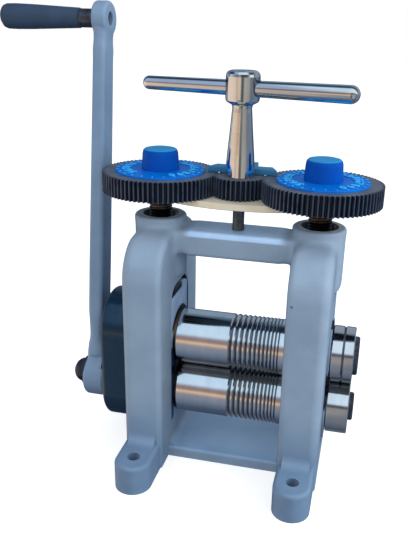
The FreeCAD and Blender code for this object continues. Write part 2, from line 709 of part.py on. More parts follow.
def roll_gears():
    """Long-toothed gears that couple the rolls and stay in mesh as the gap opens."""
    half_pitch = math.pi / ROLL_GEAR_TEETH
    tooth_outer = ROLL_RADIUS + GEAR_ADDENDUM
    tooth_root = ROLL_RADIUS - GEAR_DEDENDUM
    for name, axis, turn in (("upper", HIGH_AXIS, -math.pi / 2),
                             ("lower", LOW_AXIS, math.pi / 2 + half_pitch)):
        outline = gear_points(ROLL_GEAR_TEETH, ROLL_RADIUS + RUNNING_FIT, GEAR_TOOTH_HALF,
                              tooth_outer, tooth_root, math.radians(GEAR_ANGLE),
                              GEAR_FLANK_STEPS, turn)
        points = [Vector(-ROLL_GEAR_END, y, axis + z) for y, z in outline]
        gear = plate(points, Vector(ROLL_GEAR_LENGTH, 0, 0))
        gear = gear.cut(rod("x", -ROLL_GEAR_END - 1, -JOURNAL_END, SEAT_RADIUS, (0, axis)))
        gear = gear.cut(key_bar(axis, -ROLL_GEAR_END - 1, -JOURNAL_END))
        save(name + "_roll_gear", only_solid(gear))
        save(name + "_gear_key", gear_key(axis))
        clip_in = -ROLL_GEAR_END - CLIP_PLAY
        clip = rod("x", clip_in, clip_in - CLIP_THICK, SEAT_RADIUS + CLIP_RIM, (0, axis))
        clip = clip.cut(rod("x", clip_in - 2, clip_in + 1, CLIP_GROOVE + RUNNING_FIT, (0, axis)))
        clip = clip.cut(brick((clip_in - 2, clip_in + 1), (-CLIP_MOUTH_HALF, CLIP_MOUTH_HALF),
                              (axis - 2 * CLIP_MOUTH_TOP, axis - CLIP_MOUTH_TOP)))
        save(name + "_circlip", clip)


def cover_outline(radius, first, last):
    """Round-ended upright block that the cover and its hollow are made from."""
    low, high = LOW_AXIS, HIGH_AXIS + COVER_RISE
    solid = brick((first, last), (-radius, radius), (low, high))
    solid = solid.fuse(rod("x", first, last, radius, (0, low)))
    return only_solid(solid.fuse(rod("x", first, last, radius, (0, high))))


def gear_cover():
    """Deep cover over the roll gears and its two long screws."""
    shell = cover_outline(COVER_RADIUS, -COVER_FACE, -OUTER_FACE)
    shell = rounded(shell, COVER_ROUND, lambda p: p.x < -COVER_FACE + 0.1)
    shell = shell.cut(cover_outline(COVER_RADIUS - COVER_WALL, COVER_WALL - COVER_FACE,
                                    1 - OUTER_FACE))
    posts = cover_outline(COVER_RADIUS - COVER_POST_INSET, -COVER_FACE, -OUTER_FACE)
    screws = []
    for way in (-1, 1):
        place = cover_screw(way)
        post = rod("x", 1 - COVER_FACE, -OUTER_FACE, COVER_POST_RADIUS, place)
        shell = shell.fuse(post.common(posts))
        shell = shell.cut(rod("x", -COVER_FACE - 1, 1 - OUTER_FACE, COVER_SCREW_RADIUS, place))
        screw = rod("x", -COVER_FACE, -COVER_SCREW_END, COVER_SCREW_RADIUS, place)
        head = rod("x", -COVER_FACE - COVER_HEAD_THICK, -COVER_FACE, COVER_HEAD_RADIUS, place)
        screws.append(only_solid(screw.fuse(head)))
    shell = shell.cut(rod("x", -COVER_FACE - 1, -ROLL_GEAR_END, SEAT_RADIUS + COVER_SHAFT_ROOM,
                          (0, LOW_AXIS)))
    save("gear_cover", only_solid(shell))
    save("cover_screws", Part.makeCompound(screws))


def crank_arm():
    """Cast crank arm with its hub, flared root and handle boss."""
    top = LOW_AXIS + CRANK_LENGTH
    bar = brick((-ARM_OUT, ARM_THICK - ARM_OUT), (-ARM_HALF, ARM_HALF), (LOW_AXIS + ARM_START, top))
    bar = rounded(bar, ARM_ROUND, lambda p: abs(p.z - (LOW_AXIS + ARM_START + top) / 2) < 1)
    flare = turned_z([(LOW_AXIS + FLARE_START, ARM_HALF + FLARE_WIDEN),
                      (LOW_AXIS + FLARE_END, ARM_HALF - FLARE_NARROW)], 0)
    flare.translate(Vector(ARM_THICK / 2 - ARM_OUT, 0, 0))
    flare = flare.common(brick((FLARE_INSET - HUB_OUT, -HUB_IN - 1),
                               (-CRANK_HUB_RADIUS, CRANK_HUB_RADIUS), (LOW_AXIS, top)))
    hub = rod("x", -HUB_OUT, -HUB_IN, CRANK_HUB_RADIUS, (0, LOW_AXIS))
    hub = rounded(hub, CRANK_HUB_ROUND, lambda p: abs(p.z - LOW_AXIS) < 1 and abs(p.y) < 1)
    eye = rod("x", -EYE_OUT, EYE_THICK - EYE_OUT, EYE_RADIUS, (0, top))
    eye = rounded(eye, EYE_ROUND, lambda p: abs(p.z - top) < 1 and abs(p.y) < 1)
    arm = only_solid(bar.fuse([flare, hub, eye]))
    arm = arm.cut(rod("x", -HUB_OUT, -HUB_IN, EYE_BORE, (0, top)))
    arm.rotate(Vector(0, 0, LOW_AXIS), Vector(1, 0, 0), -CRANK_TILT)
    arm = arm.cut(rod("x", -CRANK_SHOULDER, 1 - HUB_IN, CRANK_BORE, (0, LOW_AXIS)))
    arm = arm.cut(rod("x", -HUB_OUT - 1, -CRANK_SHOULDER, CRANK_THREAD, (0, LOW_AXIS)))
    save("crank_arm", only_solid(arm.cut(crank_key())))
    save("crank_key", crank_key())


def crank_nut():
    """Domed nut on the end of the crank shaft."""
    collar = HUB_OUT + CRANK_NUT_THICK
    nut = hexagon("x", -collar, -HUB_OUT, CRANK_NUT_HALF, (0, LOW_AXIS))
    nut = nut.common(turned_x([(-collar, CRANK_NUT_ROUND),
                               (-HUB_OUT - EDGE_BREAK, CRANK_NUT_ROUND),
                               (-HUB_OUT, CRANK_NUT_ROUND - EDGE_BREAK)], LOW_AXIS))
    leans = [math.radians(DOME_FLAT + (90 - DOME_FLAT) * n / DOME_STEPS)
             for n in range(DOME_STEPS + 1)]
    dome = turned_x([(-collar - DOME_HEIGHT * math.cos(lean), DOME_RADIUS * math.sin(lean))
                     for lean in leans], LOW_AXIS)
    bore = rod("x", -HUB_OUT - CRANK_THREAD_LENGTH - CRANK_NUT_ROOM, 1 - HUB_OUT, CRANK_THREAD,
               (0, LOW_AXIS))
    save("crank_nut", only_solid(nut.fuse(dome).cut(bore)))


def handle():
    """Spindle held in the arm, and the tapered grip that turns on it."""
    tilt = math.radians(CRANK_TILT)
    height = LOW_AXIS + CRANK_LENGTH * math.cos(tilt)
    back = CRANK_LENGTH * math.sin(tilt)
    collar = EYE_OUT + COLLAR_LENGTH
    spindle = turned_x([(-collar - SPINDLE_LENGTH, SPINDLE_RADIUS), (-collar, SPINDLE_RADIUS),
                        (-collar, COLLAR_RADIUS), (-EYE_OUT, COLLAR_RADIUS),
                        (-EYE_OUT, EYE_BORE), (SPINDLE_SEAT - EYE_OUT, EYE_BORE)], height)
    spindle.translate(Vector(0, back, 0))
    save("grip_spindle", spindle)
    foot = collar + END_PLAY
    end = foot + GRIP_LENGTH
    outline = [(-end, GRIP_END_FLAT), (GRIP_CORNER_AT - end, GRIP_END_CORNER),
               (GRIP_ROUND_AT - end, GRIP_END_ROUND), (GRIP_SWELL_AT - end, GRIP_SWELL),
               (GRIP_THICKEST_AT - end, GRIP_THICKEST), (GRIP_HOLLOW_AT - end, GRIP_HOLLOW),
               (GRIP_MIDDLE_AT - end, GRIP_MIDDLE), (-foot - GRIP_FOOT_EDGE, GRIP_NECK),
               (-foot, GRIP_FOOT)]
    grip = turned_x(outline, height)
    grip.translate(Vector(0, back, 0))
    bore = rod("x", -collar - SPINDLE_LENGTH - 1, 1 - foot, SPINDLE_RADIUS + RUNNING_FIT,
               (back, height))
    save("grip", grip.cut(bore))


def double_flat(low, high, radius, x):
    """Round seat with two flats that drives a dial gear."""
    seat = rod("z", low, high, radius, (x, 0))
    return seat.common(brick((x - radius, x + radius), (-FLAT_HALF, FLAT_HALF), (low, high)))


def spur_gear(teeth, turn, x):
    """Toothed wheel of the dial train, standing on its axis at X."""
    radius = GEAR_MODULE * teeth / 2
    outline = gear_points(teeth, radius, TOOTH_HALF, radius + TOOTH_ADDENDUM * GEAR_MODULE,
                          radius - TOOTH_DEDENDUM * GEAR_MODULE, math.radians(TOOTH_ANGLE),
                          TOOTH_STEPS, turn)
    points = [Vector(x + a, b, GEAR_BOTTOM) for a, b in outline]
    return plate(points, Vector(0, 0, GEAR_THICK))


def lifting_screws():
    """Screw of each side, from its tip in the block to its seat in the dial gear."""
    tip, shoulder = BLOCK_TOP - SOCKET_DEPTH, BLOCK_TOP + SHOULDER_ABOVE
    neck = LINK_BOTTOM - NECK_BELOW_LINK
    for side, hand in ((-1, "left"), (1, "right")):
        x = side * SCREW_X
        screw = turned_z([(tip, SCREW_TIP - EDGE_BREAK), (tip + EDGE_BREAK, SCREW_TIP),
                          (shoulder - TIP_CONE, SCREW_TIP), (shoulder, SCREW_RADIUS),
                          (neck, SCREW_RADIUS), (neck, SCREW_NECK),
                          (GEAR_BOTTOM, SCREW_NECK)], x)
        screw = screw.fuse(double_flat(GEAR_BOTTOM, GEAR_TOP, SCREW_TIP, x))
        screw = screw.fuse(rod("z", GEAR_TOP, GEAR_TOP + SCREW_END_LENGTH, SCREW_END, (x, 0)))
        save(hand + "_screw", only_solid(screw))


def dials():
    """Dial gear, number disc, nut and cap of each screw."""
    top = GEAR_TOP + DIAL_THICK
    for side, hand in ((-1, "left"), (1, "right")):
        x = side * SCREW_X
        turn = 0 if side < 0 else math.pi + math.pi / DIAL_TEETH
        gear = spur_gear(DIAL_TEETH, turn, x)
        gear = gear.cut(double_flat(GEAR_BOTTOM - 1, GEAR_TOP + 1, SCREW_TIP, x))
        save(hand + "_dial_gear", only_solid(gear))
        disc = turned_z([(GEAR_TOP, DIAL_RADIUS), (top - DIAL_EDGE, DIAL_RADIUS),
                         (top, DIAL_RADIUS - DIAL_EDGE)], x)
        bore = rod("z", GEAR_TOP - 1, top + 1, SCREW_END + DIAL_BORE_ROOM, (x, 0))
        save(hand + "_dial_disc", disc.cut(bore))
        nut = hexagon("z", top, top + DIAL_NUT_THICK, DIAL_NUT_HALF, (x, 0))
        bore = rod("z", top - 1, top + DIAL_NUT_THICK + 1, SCREW_END, (x, 0))
        save(hand + "_dial_nut", nut.cut(bore))
        crest = top + CAP_HEIGHT
        cap = turned_z([(top, CAP_FOOT), (crest - CAP_SIDE_BELOW, CAP_SIDE),
                        (crest - CAP_EDGE_BELOW, CAP_EDGE), (crest - CAP_ROUND_BELOW, CAP_ROUND),
                        (crest, CAP_CROWN)], x)
        save(hand + "_dial_cap", cap.cut(rod("z", top - 1, top + CAP_ROOM, CAP_BORE, (x, 0))))


def link_plate():
    """Boat-shaped plate under the gears that ties both screws and the pinion together."""
    shoulder, side_reach = SCREW_X - LINK_SHOULDER, SCREW_X + LINK_REACH
    half, belly = LINK_SHOULDER_HALF, LINK_BELLY
    corners = [(-shoulder, -half), (0, -belly), (shoulder, -half), (side_reach, 0),
               (shoulder, half), (0, belly), (-shoulder, half), (-side_reach, 0)]
    points = [Vector(x, y, LINK_BOTTOM) for x, y in corners]
    edges = [Part.Arc(points[n], points[n + 1], points[(n + 2) % 8]).toShape()
             for n in range(0, 8, 2)]
    solid = Part.Face(Part.Wire(edges)).extrude(Vector(0, 0, LINK_THICK))
    solid = solid.fuse(brick((-LINK_TAIL_HALF, LINK_TAIL_HALF),
                             (LINK_TAIL_START, POST_Y + TAIL_REACH), (LINK_BOTTOM, LINK_TOP)))
    for side in (-1, 1):
        solid = solid.cut(rod("z", LINK_BOTTOM - 1, LINK_TOP + 1, SCREW_NECK + RUNNING_FIT,
                              (side * SCREW_X, 0)))
    solid = solid.cut(rod("z", LINK_BOTTOM - 1, LINK_TOP + 1, PIN_RADIUS + SLIDING_FIT))
    solid = solid.cut(rod("z", LINK_BOTTOM - 1, LINK_TOP + 1, POST_TENON, (0, POST_Y)))
    save("link_plate", only_solid(solid))


def keeper():
    """Bar over the gear rims, the post behind the pinion that carries it, and its screw."""
    low = GEAR_TOP + FACE_FIT
    high = low + KEEPER_THICK
    tail = POST_Y + TAIL_REACH
    half = [(KEEPER_HALF, KEEPER_FRONT), (KEEPER_REAR_HALF, KEEPER_REAR),
            (KEEPER_TAB_HALF, KEEPER_REAR), (KEEPER_TAB_HALF, tail)]
    corners = half + [(-x, y) for x, y in reversed(half)]
    bar = plate([Vector(x, y, low) for x, y in corners], Vector(0, 0, KEEPER_THICK))
    bar = bar.cut(rod("z", low - 1, high + 1, STEM_RADIUS + KEEPER_ROOM))
    bar = bar.cut(rod("z", low - 1, high + 1, POST_SCREW, (0, POST_Y)))
    save("keeper_bar", only_solid(bar))
    post = rod("z", LINK_TOP, low, POST_RADIUS, (0, POST_Y))
    post = post.fuse(rod("z", LINK_BOTTOM, LINK_TOP + FACE_FIT, POST_TENON, (0, POST_Y)))
    post = post.cut(rod("z", low - KEEPER_SCREW_LENGTH - 1, low + 1, POST_SCREW, (0, POST_Y)))
    save("keeper_post", only_solid(post))
    screw = rod("z", low - KEEPER_SCREW_LENGTH, high, POST_SCREW, (0, POST_Y))
    screw = screw.fuse(rod("z", high, high + KEEPER_HEAD_THICK, KEEPER_HEAD_RADIUS,
                           (0, POST_Y)))
    socket = hexagon("z", high + KEEPER_SOCKET_START, high + KEEPER_HEAD_THICK + 1, SOCKET_HALF,
                     (0, POST_Y))
    save("keeper_screw", only_solid(screw).cut(socket))


def cross_bar():
    """Slightly tapered bar with round ends, driven through the hub."""
    slim, thick = BAR_SLIM, BAR_THICK
    left, right = BAR_LEFT, BAR_RIGHT

    def on_axis(x, lift):
        return Vector(x, 0, HUB_HEIGHT + lift)

    round_left = Part.Arc(on_axis(left - slim, 0), on_axis(left - slim * math.sqrt(0.5),
                          slim * math.sqrt(0.5)), on_axis(left, slim))
    round_right = Part.Arc(on_axis(right, thick), on_axis(right + thick * math.sqrt(0.5),
                           thick * math.sqrt(0.5)), on_axis(right + thick, 0))
    edges = [round_left.toShape(), Part.makeLine(on_axis(left, slim), on_axis(right, thick)),
             round_right.toShape(),
             Part.makeLine(on_axis(right + thick, 0), on_axis(left - slim, 0))]
    half = Part.Face(Part.Wire(edges))
    bar = half.revolve(on_axis(0, 0), Vector(1, 0, 0), 360)
    bar.rotate(on_axis(0, 0), Vector(0, 0, 1), TEE_TURN)
    return bar


def t_handle():
    """Drive pinion, hollow stem and cross bar that run both screws together."""
    pinion = spur_gear(PINION_TEETH, 0, 0)
    save("drive_pinion", pinion.cut(rod("z", GEAR_BOTTOM - 1, GEAR_TOP + 1, PINION_BORE)))
    hub = HUB_HEIGHT
    stem = turned_z([(GEAR_BOTTOM, PINION_BORE), (GEAR_TOP, PINION_BORE),
                     (GEAR_TOP, STEM_RADIUS), (GEAR_TOP + FOOT_RISE, STEM_RADIUS - FACE_FIT),
                     (hub - CONE_MIDDLE_BELOW, CONE_MIDDLE_RADIUS),
                     (hub - CONE_UPPER_BELOW, CONE_UPPER_RADIUS), (hub - NECK_BELOW, NECK_RADIUS),
                     (hub - WAIST_BELOW, WAIST_RADIUS), (hub - HUB_FOOT, HUB_FOOT_RADIUS),
                     (hub - HUB_LOW, HUB_LOW_RADIUS), (hub - HUB_LOW_EDGE, HUB_EDGE_RADIUS),
                     (hub - HUB_SIDE_LOW, HUB_RADIUS), (hub + HUB_SIDE_HIGH, HUB_RADIUS),
                     (hub + HUB_HIGH, HUB_HIGH_RADIUS), (hub + HUB_CROWN, HUB_CROWN_RADIUS),
                     (hub + HUB_TOP, HUB_TOP_RADIUS)], 0)
    stem = stem.cut(rod("z", GEAR_BOTTOM - 1, PIN_TOP + PIN_HOLE_ROOM, STEM_BORE))
    bar = cross_bar()
    save("t_handle_stem", only_solid(stem.cut(bar)))
    save("t_handle_bar", bar)


def guide_pin():
    """Pin pressed into the top bar, up which the hollow stem slides."""
    seat = FRAME_TOP - PIN_SEAT + 1
    pin = turned_z([(seat, PIN_RADIUS - SMALL_EDGE), (seat + SMALL_EDGE, PIN_RADIUS),
                    (PIN_TOP - PIN_EDGE, PIN_RADIUS), (PIN_TOP, PIN_RADIUS - PIN_EDGE)], 0)
    save("guide_pin", pin)


frame()
screw_nuts()
bearings()
springs()
rolls()
side_rolls()
roll_gears()
gear_cover()
crank_arm()
crank_nut()
handle()
lifting_screws()
dials()
link_plate()
keeper()
t_handle()
guide_pin()
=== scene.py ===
import bmesh
import bpy
import math
from mathutils import Matrix, Vector


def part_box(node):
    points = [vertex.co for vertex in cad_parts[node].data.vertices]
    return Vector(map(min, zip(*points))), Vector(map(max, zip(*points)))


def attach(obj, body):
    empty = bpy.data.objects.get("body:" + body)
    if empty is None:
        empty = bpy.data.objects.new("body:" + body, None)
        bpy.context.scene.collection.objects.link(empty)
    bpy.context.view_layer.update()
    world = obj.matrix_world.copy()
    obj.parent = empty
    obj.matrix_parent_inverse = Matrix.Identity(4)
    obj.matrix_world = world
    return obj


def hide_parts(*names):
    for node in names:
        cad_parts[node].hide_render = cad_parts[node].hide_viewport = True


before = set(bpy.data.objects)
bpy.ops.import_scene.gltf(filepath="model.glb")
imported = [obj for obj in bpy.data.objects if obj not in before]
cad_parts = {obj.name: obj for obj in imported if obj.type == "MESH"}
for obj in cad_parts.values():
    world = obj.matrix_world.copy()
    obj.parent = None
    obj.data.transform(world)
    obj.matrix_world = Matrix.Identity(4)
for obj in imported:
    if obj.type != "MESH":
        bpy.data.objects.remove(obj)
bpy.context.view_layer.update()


# The picture: the mill stands on a pale floor in soft bluish light. What shines mirrors
# a room: bright above, with a warm line at bench height and dark corners. The camera
# stands to its right, half a metre in front of the rolls, and looks down on it.

class Signal:
    """A socket of a finish or of the light, on which shader maths reads as plain maths."""

    def __init__(self, socket):
        self.socket = socket

    def node(self, kind, settings=None, inputs=None, out=0):
        tree = self.socket.id_data
        made = tree.nodes.new("ShaderNode" + kind)
        for name, value in (settings or {}).items():
            if name == "stops":
                ramp = made.color_ramp
                while len(ramp.elements) < len(value):
                    ramp.elements.new(0.5)
                for element, (place, colour) in zip(ramp.elements, value):
                    element.position = place
                    element.color = (*colour, 1.0)
            else:
                setattr(made, name, value)
        for name, value in (inputs or {}).items():
            if isinstance(value, Signal):
                tree.links.new(value.socket, made.inputs[name])
            else:
                made.inputs[name].default_value = value
        return Signal(made.outputs[out])

    def maths(self, operation, a, b=0.0, clamp=False):
        return self.node("Math", {"operation": operation, "use_clamp": clamp}, {0: a, 1: b})

    def __add__(self, other):
        return self.maths("ADD", self, other)

    def __radd__(self, other):
        return self.maths("ADD", other, self)

    def __sub__(self, other):
        return self.maths("SUBTRACT", self, other)

    def __rsub__(self, other):
        return self.maths("SUBTRACT", other, self)

    def __mul__(self, other):
        return self.maths("MULTIPLY", self, other)

    def __rmul__(self, other):
        return self.maths("MULTIPLY", other, self)

    def __truediv__(self, other):
        return self.maths("DIVIDE", self, other)

    def __abs__(self):
        return self.maths("ABSOLUTE", self)

    def ramp(self, low, high):
        """0 below one value, 1 above another, and smooth between them."""
        return self.node("MapRange", {"interpolation_type": "SMOOTHSTEP"},
                         {"Value": self, "From Min": low, "From Max": high})

    def blend(self, first, second):
        """From one colour to another as this value goes from 0 to 1."""
        colours = [c if isinstance(c, Signal) else (*c, 1.0) for c in (first, second)]
        return self.node("Mix", {"data_type": "RGBA"},
                         {"Factor": self, "A": colours[0], "B": colours[1]}, out="Result")

    def within(self, low, high, soft):
        """1 where this value lies between two others, and soft outside them."""
        return self.ramp(low - soft, low) * (1.0 - self.ramp(high, high + soft))

    def scaled(self, x, y, z):
        """A place or a colour with each of its parts multiplied by its own number."""
        return self.node("VectorMath", {"operation": "MULTIPLY"}, {0: self, 1: (x, y, z)})

    def noise(self, scale, detail=2.0, roughness=0.5):
        return self.node("TexNoise", None, {"Vector": self, "Scale": scale, "Detail": detail,
                                            "Roughness": roughness})

    def cells(self, scale):
        return self.node("TexVoronoi", None, {"Vector": self, "Scale": scale})

    def axis(self, name):
        return self.node("SeparateXYZ", None, {0: self}, out=name)


def reach(a, b):
    """Distance from an axis, from the two offsets across it."""
    return a.maths("POWER", a * a + b * b, 0.5)


world = bpy.data.worlds.new("daylight_room")
world.use_nodes = True
bpy.context.scene.world = world
bpy.context.scene.view_settings.view_transform = "Standard"
ray = Signal(world.node_tree.nodes.new("ShaderNodeTexCoord").outputs["Generated"])
front = 0.0 - ray.axis("Y")
arc = ray.maths("ARCTAN2", ray.axis("Z"), front) / math.tau + 0.5
round_about = ray.maths("ARCTAN2", ray.axis("X"), front) / math.tau + 0.5


def at(degrees, colour):
    """Room colour seen at an angle: up from the front horizon, or round from the front."""
    return (0.5 + degrees / 360.0, colour)


# Up the front from the horizon, over the top and down behind: first what the barrels
# and the bar mirror, then what the roll ends outside the right upright mirror.
over = arc.node("ValToRGB", {"stops": [
    at(-180, (0.27, 0.35, 0.44)), at(-125, (0.04, 0.06, 0.11)), at(-80, (0.07, 0.10, 0.16)),
    at(-36, (0.21, 0.26, 0.34)), at(-17, (0.30, 0.29, 0.33)), at(-9, (0.56, 0.45, 0.37)),
    at(-3, (0.80, 0.60, 0.43)), at(4, (0.46, 0.28, 0.20)), at(10, (0.33, 0.20, 0.17)),
    at(18, (0.27, 0.27, 0.33)), at(31, (0.64, 0.83, 1.0)), at(79, (0.58, 0.79, 1.0)),
    at(88, (0.08, 0.12, 0.15)), at(110, (0.02, 0.045, 0.08)), at(124, (0.11, 0.17, 0.25)),
    at(137, (0.24, 0.33, 0.43))]}, {"Fac": arc})
to_side = arc.node("ValToRGB", {"stops": [
    at(-180, (0.30, 0.35, 0.42)), at(-95, (0.07, 0.09, 0.12)), at(-36, (0.19, 0.22, 0.27)),
    at(-8, (0.33, 0.33, 0.35)), at(11, (0.30, 0.28, 0.27)), at(16, (0.05, 0.06, 0.08)),
    at(23, (0.06, 0.08, 0.10)), at(30, (0.72, 0.86, 1.0)), at(76, (0.70, 0.86, 1.0)),
    at(86, (0.05, 0.06, 0.08)), at(108, (0.06, 0.08, 0.10)), at(124, (0.26, 0.31, 0.38)),
    at(180, (0.30, 0.35, 0.42))]}, {"Fac": arc})
over = ray.axis("X").ramp(-0.09, -0.04).blend(over, to_side)

# Round the horizon: what the stem and the hub of the T handle mirror. The barrels of
# the rolls look past it.
around = round_about.node("ValToRGB", {"stops": [
    at(-175, (0.05, 0.08, 0.16)), at(-128, (0.05, 0.08, 0.15)), at(-112, (0.88, 0.74, 0.62)),
    at(-45, (0.80, 0.64, 0.52)), at(-24, (0.46, 0.41, 0.37)), at(1, (0.07, 0.09, 0.09)),
    at(13, (0.09, 0.11, 0.11)), at(22, (0.40, 0.40, 0.37)), at(52, (0.34, 0.33, 0.32)),
    at(66, (0.14, 0.17, 0.24)), at(120, (0.16, 0.24, 0.36)), at(150, (0.04, 0.06, 0.11)),
    at(175, (0.05, 0.08, 0.16))]}, {"Fac": round_about})
low_room = ray.axis("Z").ramp(-0.70, -0.55) * (1.0 - ray.axis("Z").ramp(-0.12, 0.22))
rolls_way = round_about.ramp(0.425, 0.445) * (1.0 - round_about.ramp(0.495, 0.51))
room = (low_room * (1.0 - rolls_way)).blend(over, around)

# A mirror in a mirror is dim, and so is the upper room to the left. Matt surfaces get
# the plain dome, and the camera sees white.
twice = ray.maths("SUBTRACT", ray.node("LightPath", out="Glossy Depth"), 1.0, clamp=True)
room = (twice * 0.8).blend(room, (0.01, 0.02, 0.035))
aside = (1.0 - ray.axis("X").ramp(-0.37, -0.29)) * ray.axis("Z").ramp(0.05, 0.30)
room = aside.blend(room, room.scaled(0.55, 0.55, 0.66))
dome = ray.axis("Z").ramp(-0.6, 0.7).blend((0.31, 0.34, 0.37), (0.78, 0.92, 1.08))
soft = ray.node("LightPath", out="Is Diffuse Ray").blend(room, dome)
seen = ray.node("LightPath", out="Is Camera Ray").blend(soft, (1.0, 1.0, 1.0))
backdrop = ray.node("Background", None, {"Color": seen, "Strength": 1.0})
world.node_tree.links.new(backdrop.socket, world.node_tree.nodes["World Output"].inputs["Surface"])

floor_finish = bpy.data.materials.new("floor_white")
floor_finish.use_nodes = True
floor_shader = floor_finish.node_tree.nodes["Principled BSDF"]
floor_shader.inputs["Base Color"].default_value = (0.66, 0.64, 0.62, 1)
floor_shader.inputs["Roughness"].default_value = 1.0
floor_shader.inputs["Specular IOR Level"].default_value = 0.0
floor_shader.inputs["Emission Color"].default_value = (1.0, 0.98, 0.95, 1)
floor_shader.inputs["Emission Strength"].default_value = 0.62
FLOOR_HALF = 6.0
floor_mesh = bpy.data.meshes.new("floor")
floor_mesh.from_pydata([(-FLOOR_HALF, -FLOOR_HALF, 0), (FLOOR_HALF, -FLOOR_HALF, 0),
                        (FLOOR_HALF, FLOOR_HALF, 0), (-FLOOR_HALF, FLOOR_HALF, 0)], [], [(0, 1, 2, 3)])
floor_mesh.materials.append(floor_finish)
floor = bpy.data.objects.new("floor", floor_mesh)
bpy.context.collection.objects.link(floor)
floor.visible_glossy = False
floor.visible_diffuse = False


def soft_light(name, place, target, width, height, power, colour):
    """Soft box that faces a point of the mill and isn't mirrored in it."""
    lamp = bpy.data.lights.new(name, "AREA")
    lamp.shape = "RECTANGLE"
    lamp.size = width
    lamp.size_y = height
    lamp.energy = power
    lamp.color = colour
    holder = bpy.data.objects.new(name, lamp)
    holder.location = place
    holder.rotation_euler = (Vector(target) - Vector(place)).to_track_quat("-Z", "Y").to_euler()
    holder.visible_glossy = False
    bpy.context.collection.objects.link(holder)


soft_light("window_light", (-0.15, -0.62, 0.66), (0, 0, 0.25), 0.6, 0.4, 1.5, (1.0, 0.98, 0.97))
soft_light("side_light", (0.95, -0.15, 0.50), (0, 0, 0.2), 0.6, 0.6, 8.0, (0.93, 0.97, 1.0))

# Focal length and shifts are in pixels of the picture.
CAMERA_PLACE = (0.10583, -0.54178, 0.38156)
CAMERA_YAW = math.radians(12.44)
CAMERA_PITCH = math.radians(21.12)
CAMERA_ROLL = math.radians(1.45)
PICTURE_TALL = 533.0
FOCAL_PIXELS = 674.0
SHIFT_RIGHT = -17.2
SHIFT_UP = 11.4
SENSOR_TALL = 36.0
camera_data = bpy.data.cameras.new("camera")
camera_data.sensor_width = SENSOR_TALL
camera_data.lens = FOCAL_PIXELS / PICTURE_TALL * SENSOR_TALL
camera_data.shift_x = SHIFT_RIGHT / PICTURE_TALL
camera_data.shift_y = SHIFT_UP / PICTURE_TALL
camera = bpy.data.objects.new("camera", camera_data)
forward = Vector((-math.sin(CAMERA_YAW) * math.cos(CAMERA_PITCH),
                  math.cos(CAMERA_YAW) * math.cos(CAMERA_PITCH), -math.sin(CAMERA_PITCH)))
level = Vector((math.cos(CAMERA_YAW), math.sin(CAMERA_YAW), 0))
upward = level.cross(forward)
right = level * math.cos(CAMERA_ROLL) + upward * math.sin(CAMERA_ROLL)
above = upward * math.cos(CAMERA_ROLL) - level * math.sin(CAMERA_ROLL)
turn = Matrix((right, above, -forward)).transposed().to_4x4()
camera.matrix_world = Matrix.Translation(CAMERA_PLACE) @ turn
bpy.context.collection.objects.link(camera)
bpy.context.scene.camera = camera


# Frame: one grey iron casting, soft where the screw bosses and the top bar grow out of
# the uprights, sprayed blue-grey over the skin of the sand. The paint has rubbed off
# round the mouths of the bosses. Painted shade darkens the windows, the bores, the bolt
# holes, the low legs and the right upright round the roll ends; painted light pales the
# top of the bar, the plate and the faces behind the windows.

class Finish:
    """One finish: its shader, with plain values set on it, and the place on the piece."""

    def __init__(self, name, plain):
        self.material = bpy.data.materials.new(name)
        self.material.use_nodes = True
        self.tree = self.material.node_tree
        self.shader = self.tree.nodes["Principled BSDF"]
        for socket, value in plain.items():
            self.shader.inputs[socket].default_value = value
        self.place = Signal(self.tree.nodes.new("ShaderNodeTexCoord").outputs["Object"])
        self.edge = Signal(self.tree.nodes.new("ShaderNodeNewGeometry").outputs["Pointiness"])

    def varies(self, socket, signal):
        self.tree.links.new(signal.socket, self.shader.inputs[socket])

    def bumps(self, height, depth):
        """Relief whose height of 1 stands as deep as given, in metres."""
        self.varies("Normal", height.node("Bump", None, {"Distance": depth, "Height": height}))

    def near(self, x, y, z):
        """Distance of the place from a point."""
        return self.place.node("VectorMath", {"operation": "DISTANCE"}, {0: self.place, 1: (x, y, z)},
                               out="Value")


def dress(node, finish):
    """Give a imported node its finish."""
    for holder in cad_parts[node].material_slots:
        holder.material = finish.material


def added(mesh, name, body, finish, *nodes):
    """Put a new piece on its body with its finish, in place of the nodes it stands for."""
    mesh.materials.clear()
    mesh.materials.append(finish.material)
    piece = bpy.data.objects.new(name, mesh)
    bpy.context.collection.objects.link(piece)
    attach(piece, body)
    if nodes:
        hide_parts(*nodes)
    return piece


def finished(holder):
    """Mesh of an object after its modifiers. The object itself goes."""
    result = bpy.data.meshes.new_from_object(holder.evaluated_get(bpy.context.evaluated_depsgraph_get()))
    bpy.data.objects.remove(holder)
    return result


def worked(source, name, *steps):
    """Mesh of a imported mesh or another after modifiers, each a kind and its settings."""
    holder = bpy.data.objects.new(name, source.copy())
    bpy.context.collection.objects.link(holder)
    for kind, settings in steps:
        step = holder.modifiers.new(kind, kind)
        for key, value in settings.items():
            setattr(step, key, value)
    return finished(holder)


def cast(node, grain, softness, passes):
    """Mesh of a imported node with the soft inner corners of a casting.

    It is rebuilt in grains of one size, and smoothed as much as softness says at each
    vertex, from 0 to 1.
    """
    skin = worked(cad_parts[node].data, node, ("REMESH", {"mode": "VOXEL", "voxel_size": grain}))
    holder = bpy.data.objects.new(node + "_soft", skin)
    bpy.context.collection.objects.link(holder)
    group = holder.vertex_groups.new(name="soft")
    shares = {}
    for vertex in skin.vertices:
        share = round(softness(vertex.co), 1)
        if share > 0:
            shares.setdefault(share, []).append(vertex.index)
    for share, members in shares.items():
        group.add(members, share, "REPLACE")
    step = holder.modifiers.new("soft", "SMOOTH")
    step.vertex_group = "soft"
    step.factor = 0.5
    step.iterations = passes
    return finished(holder)


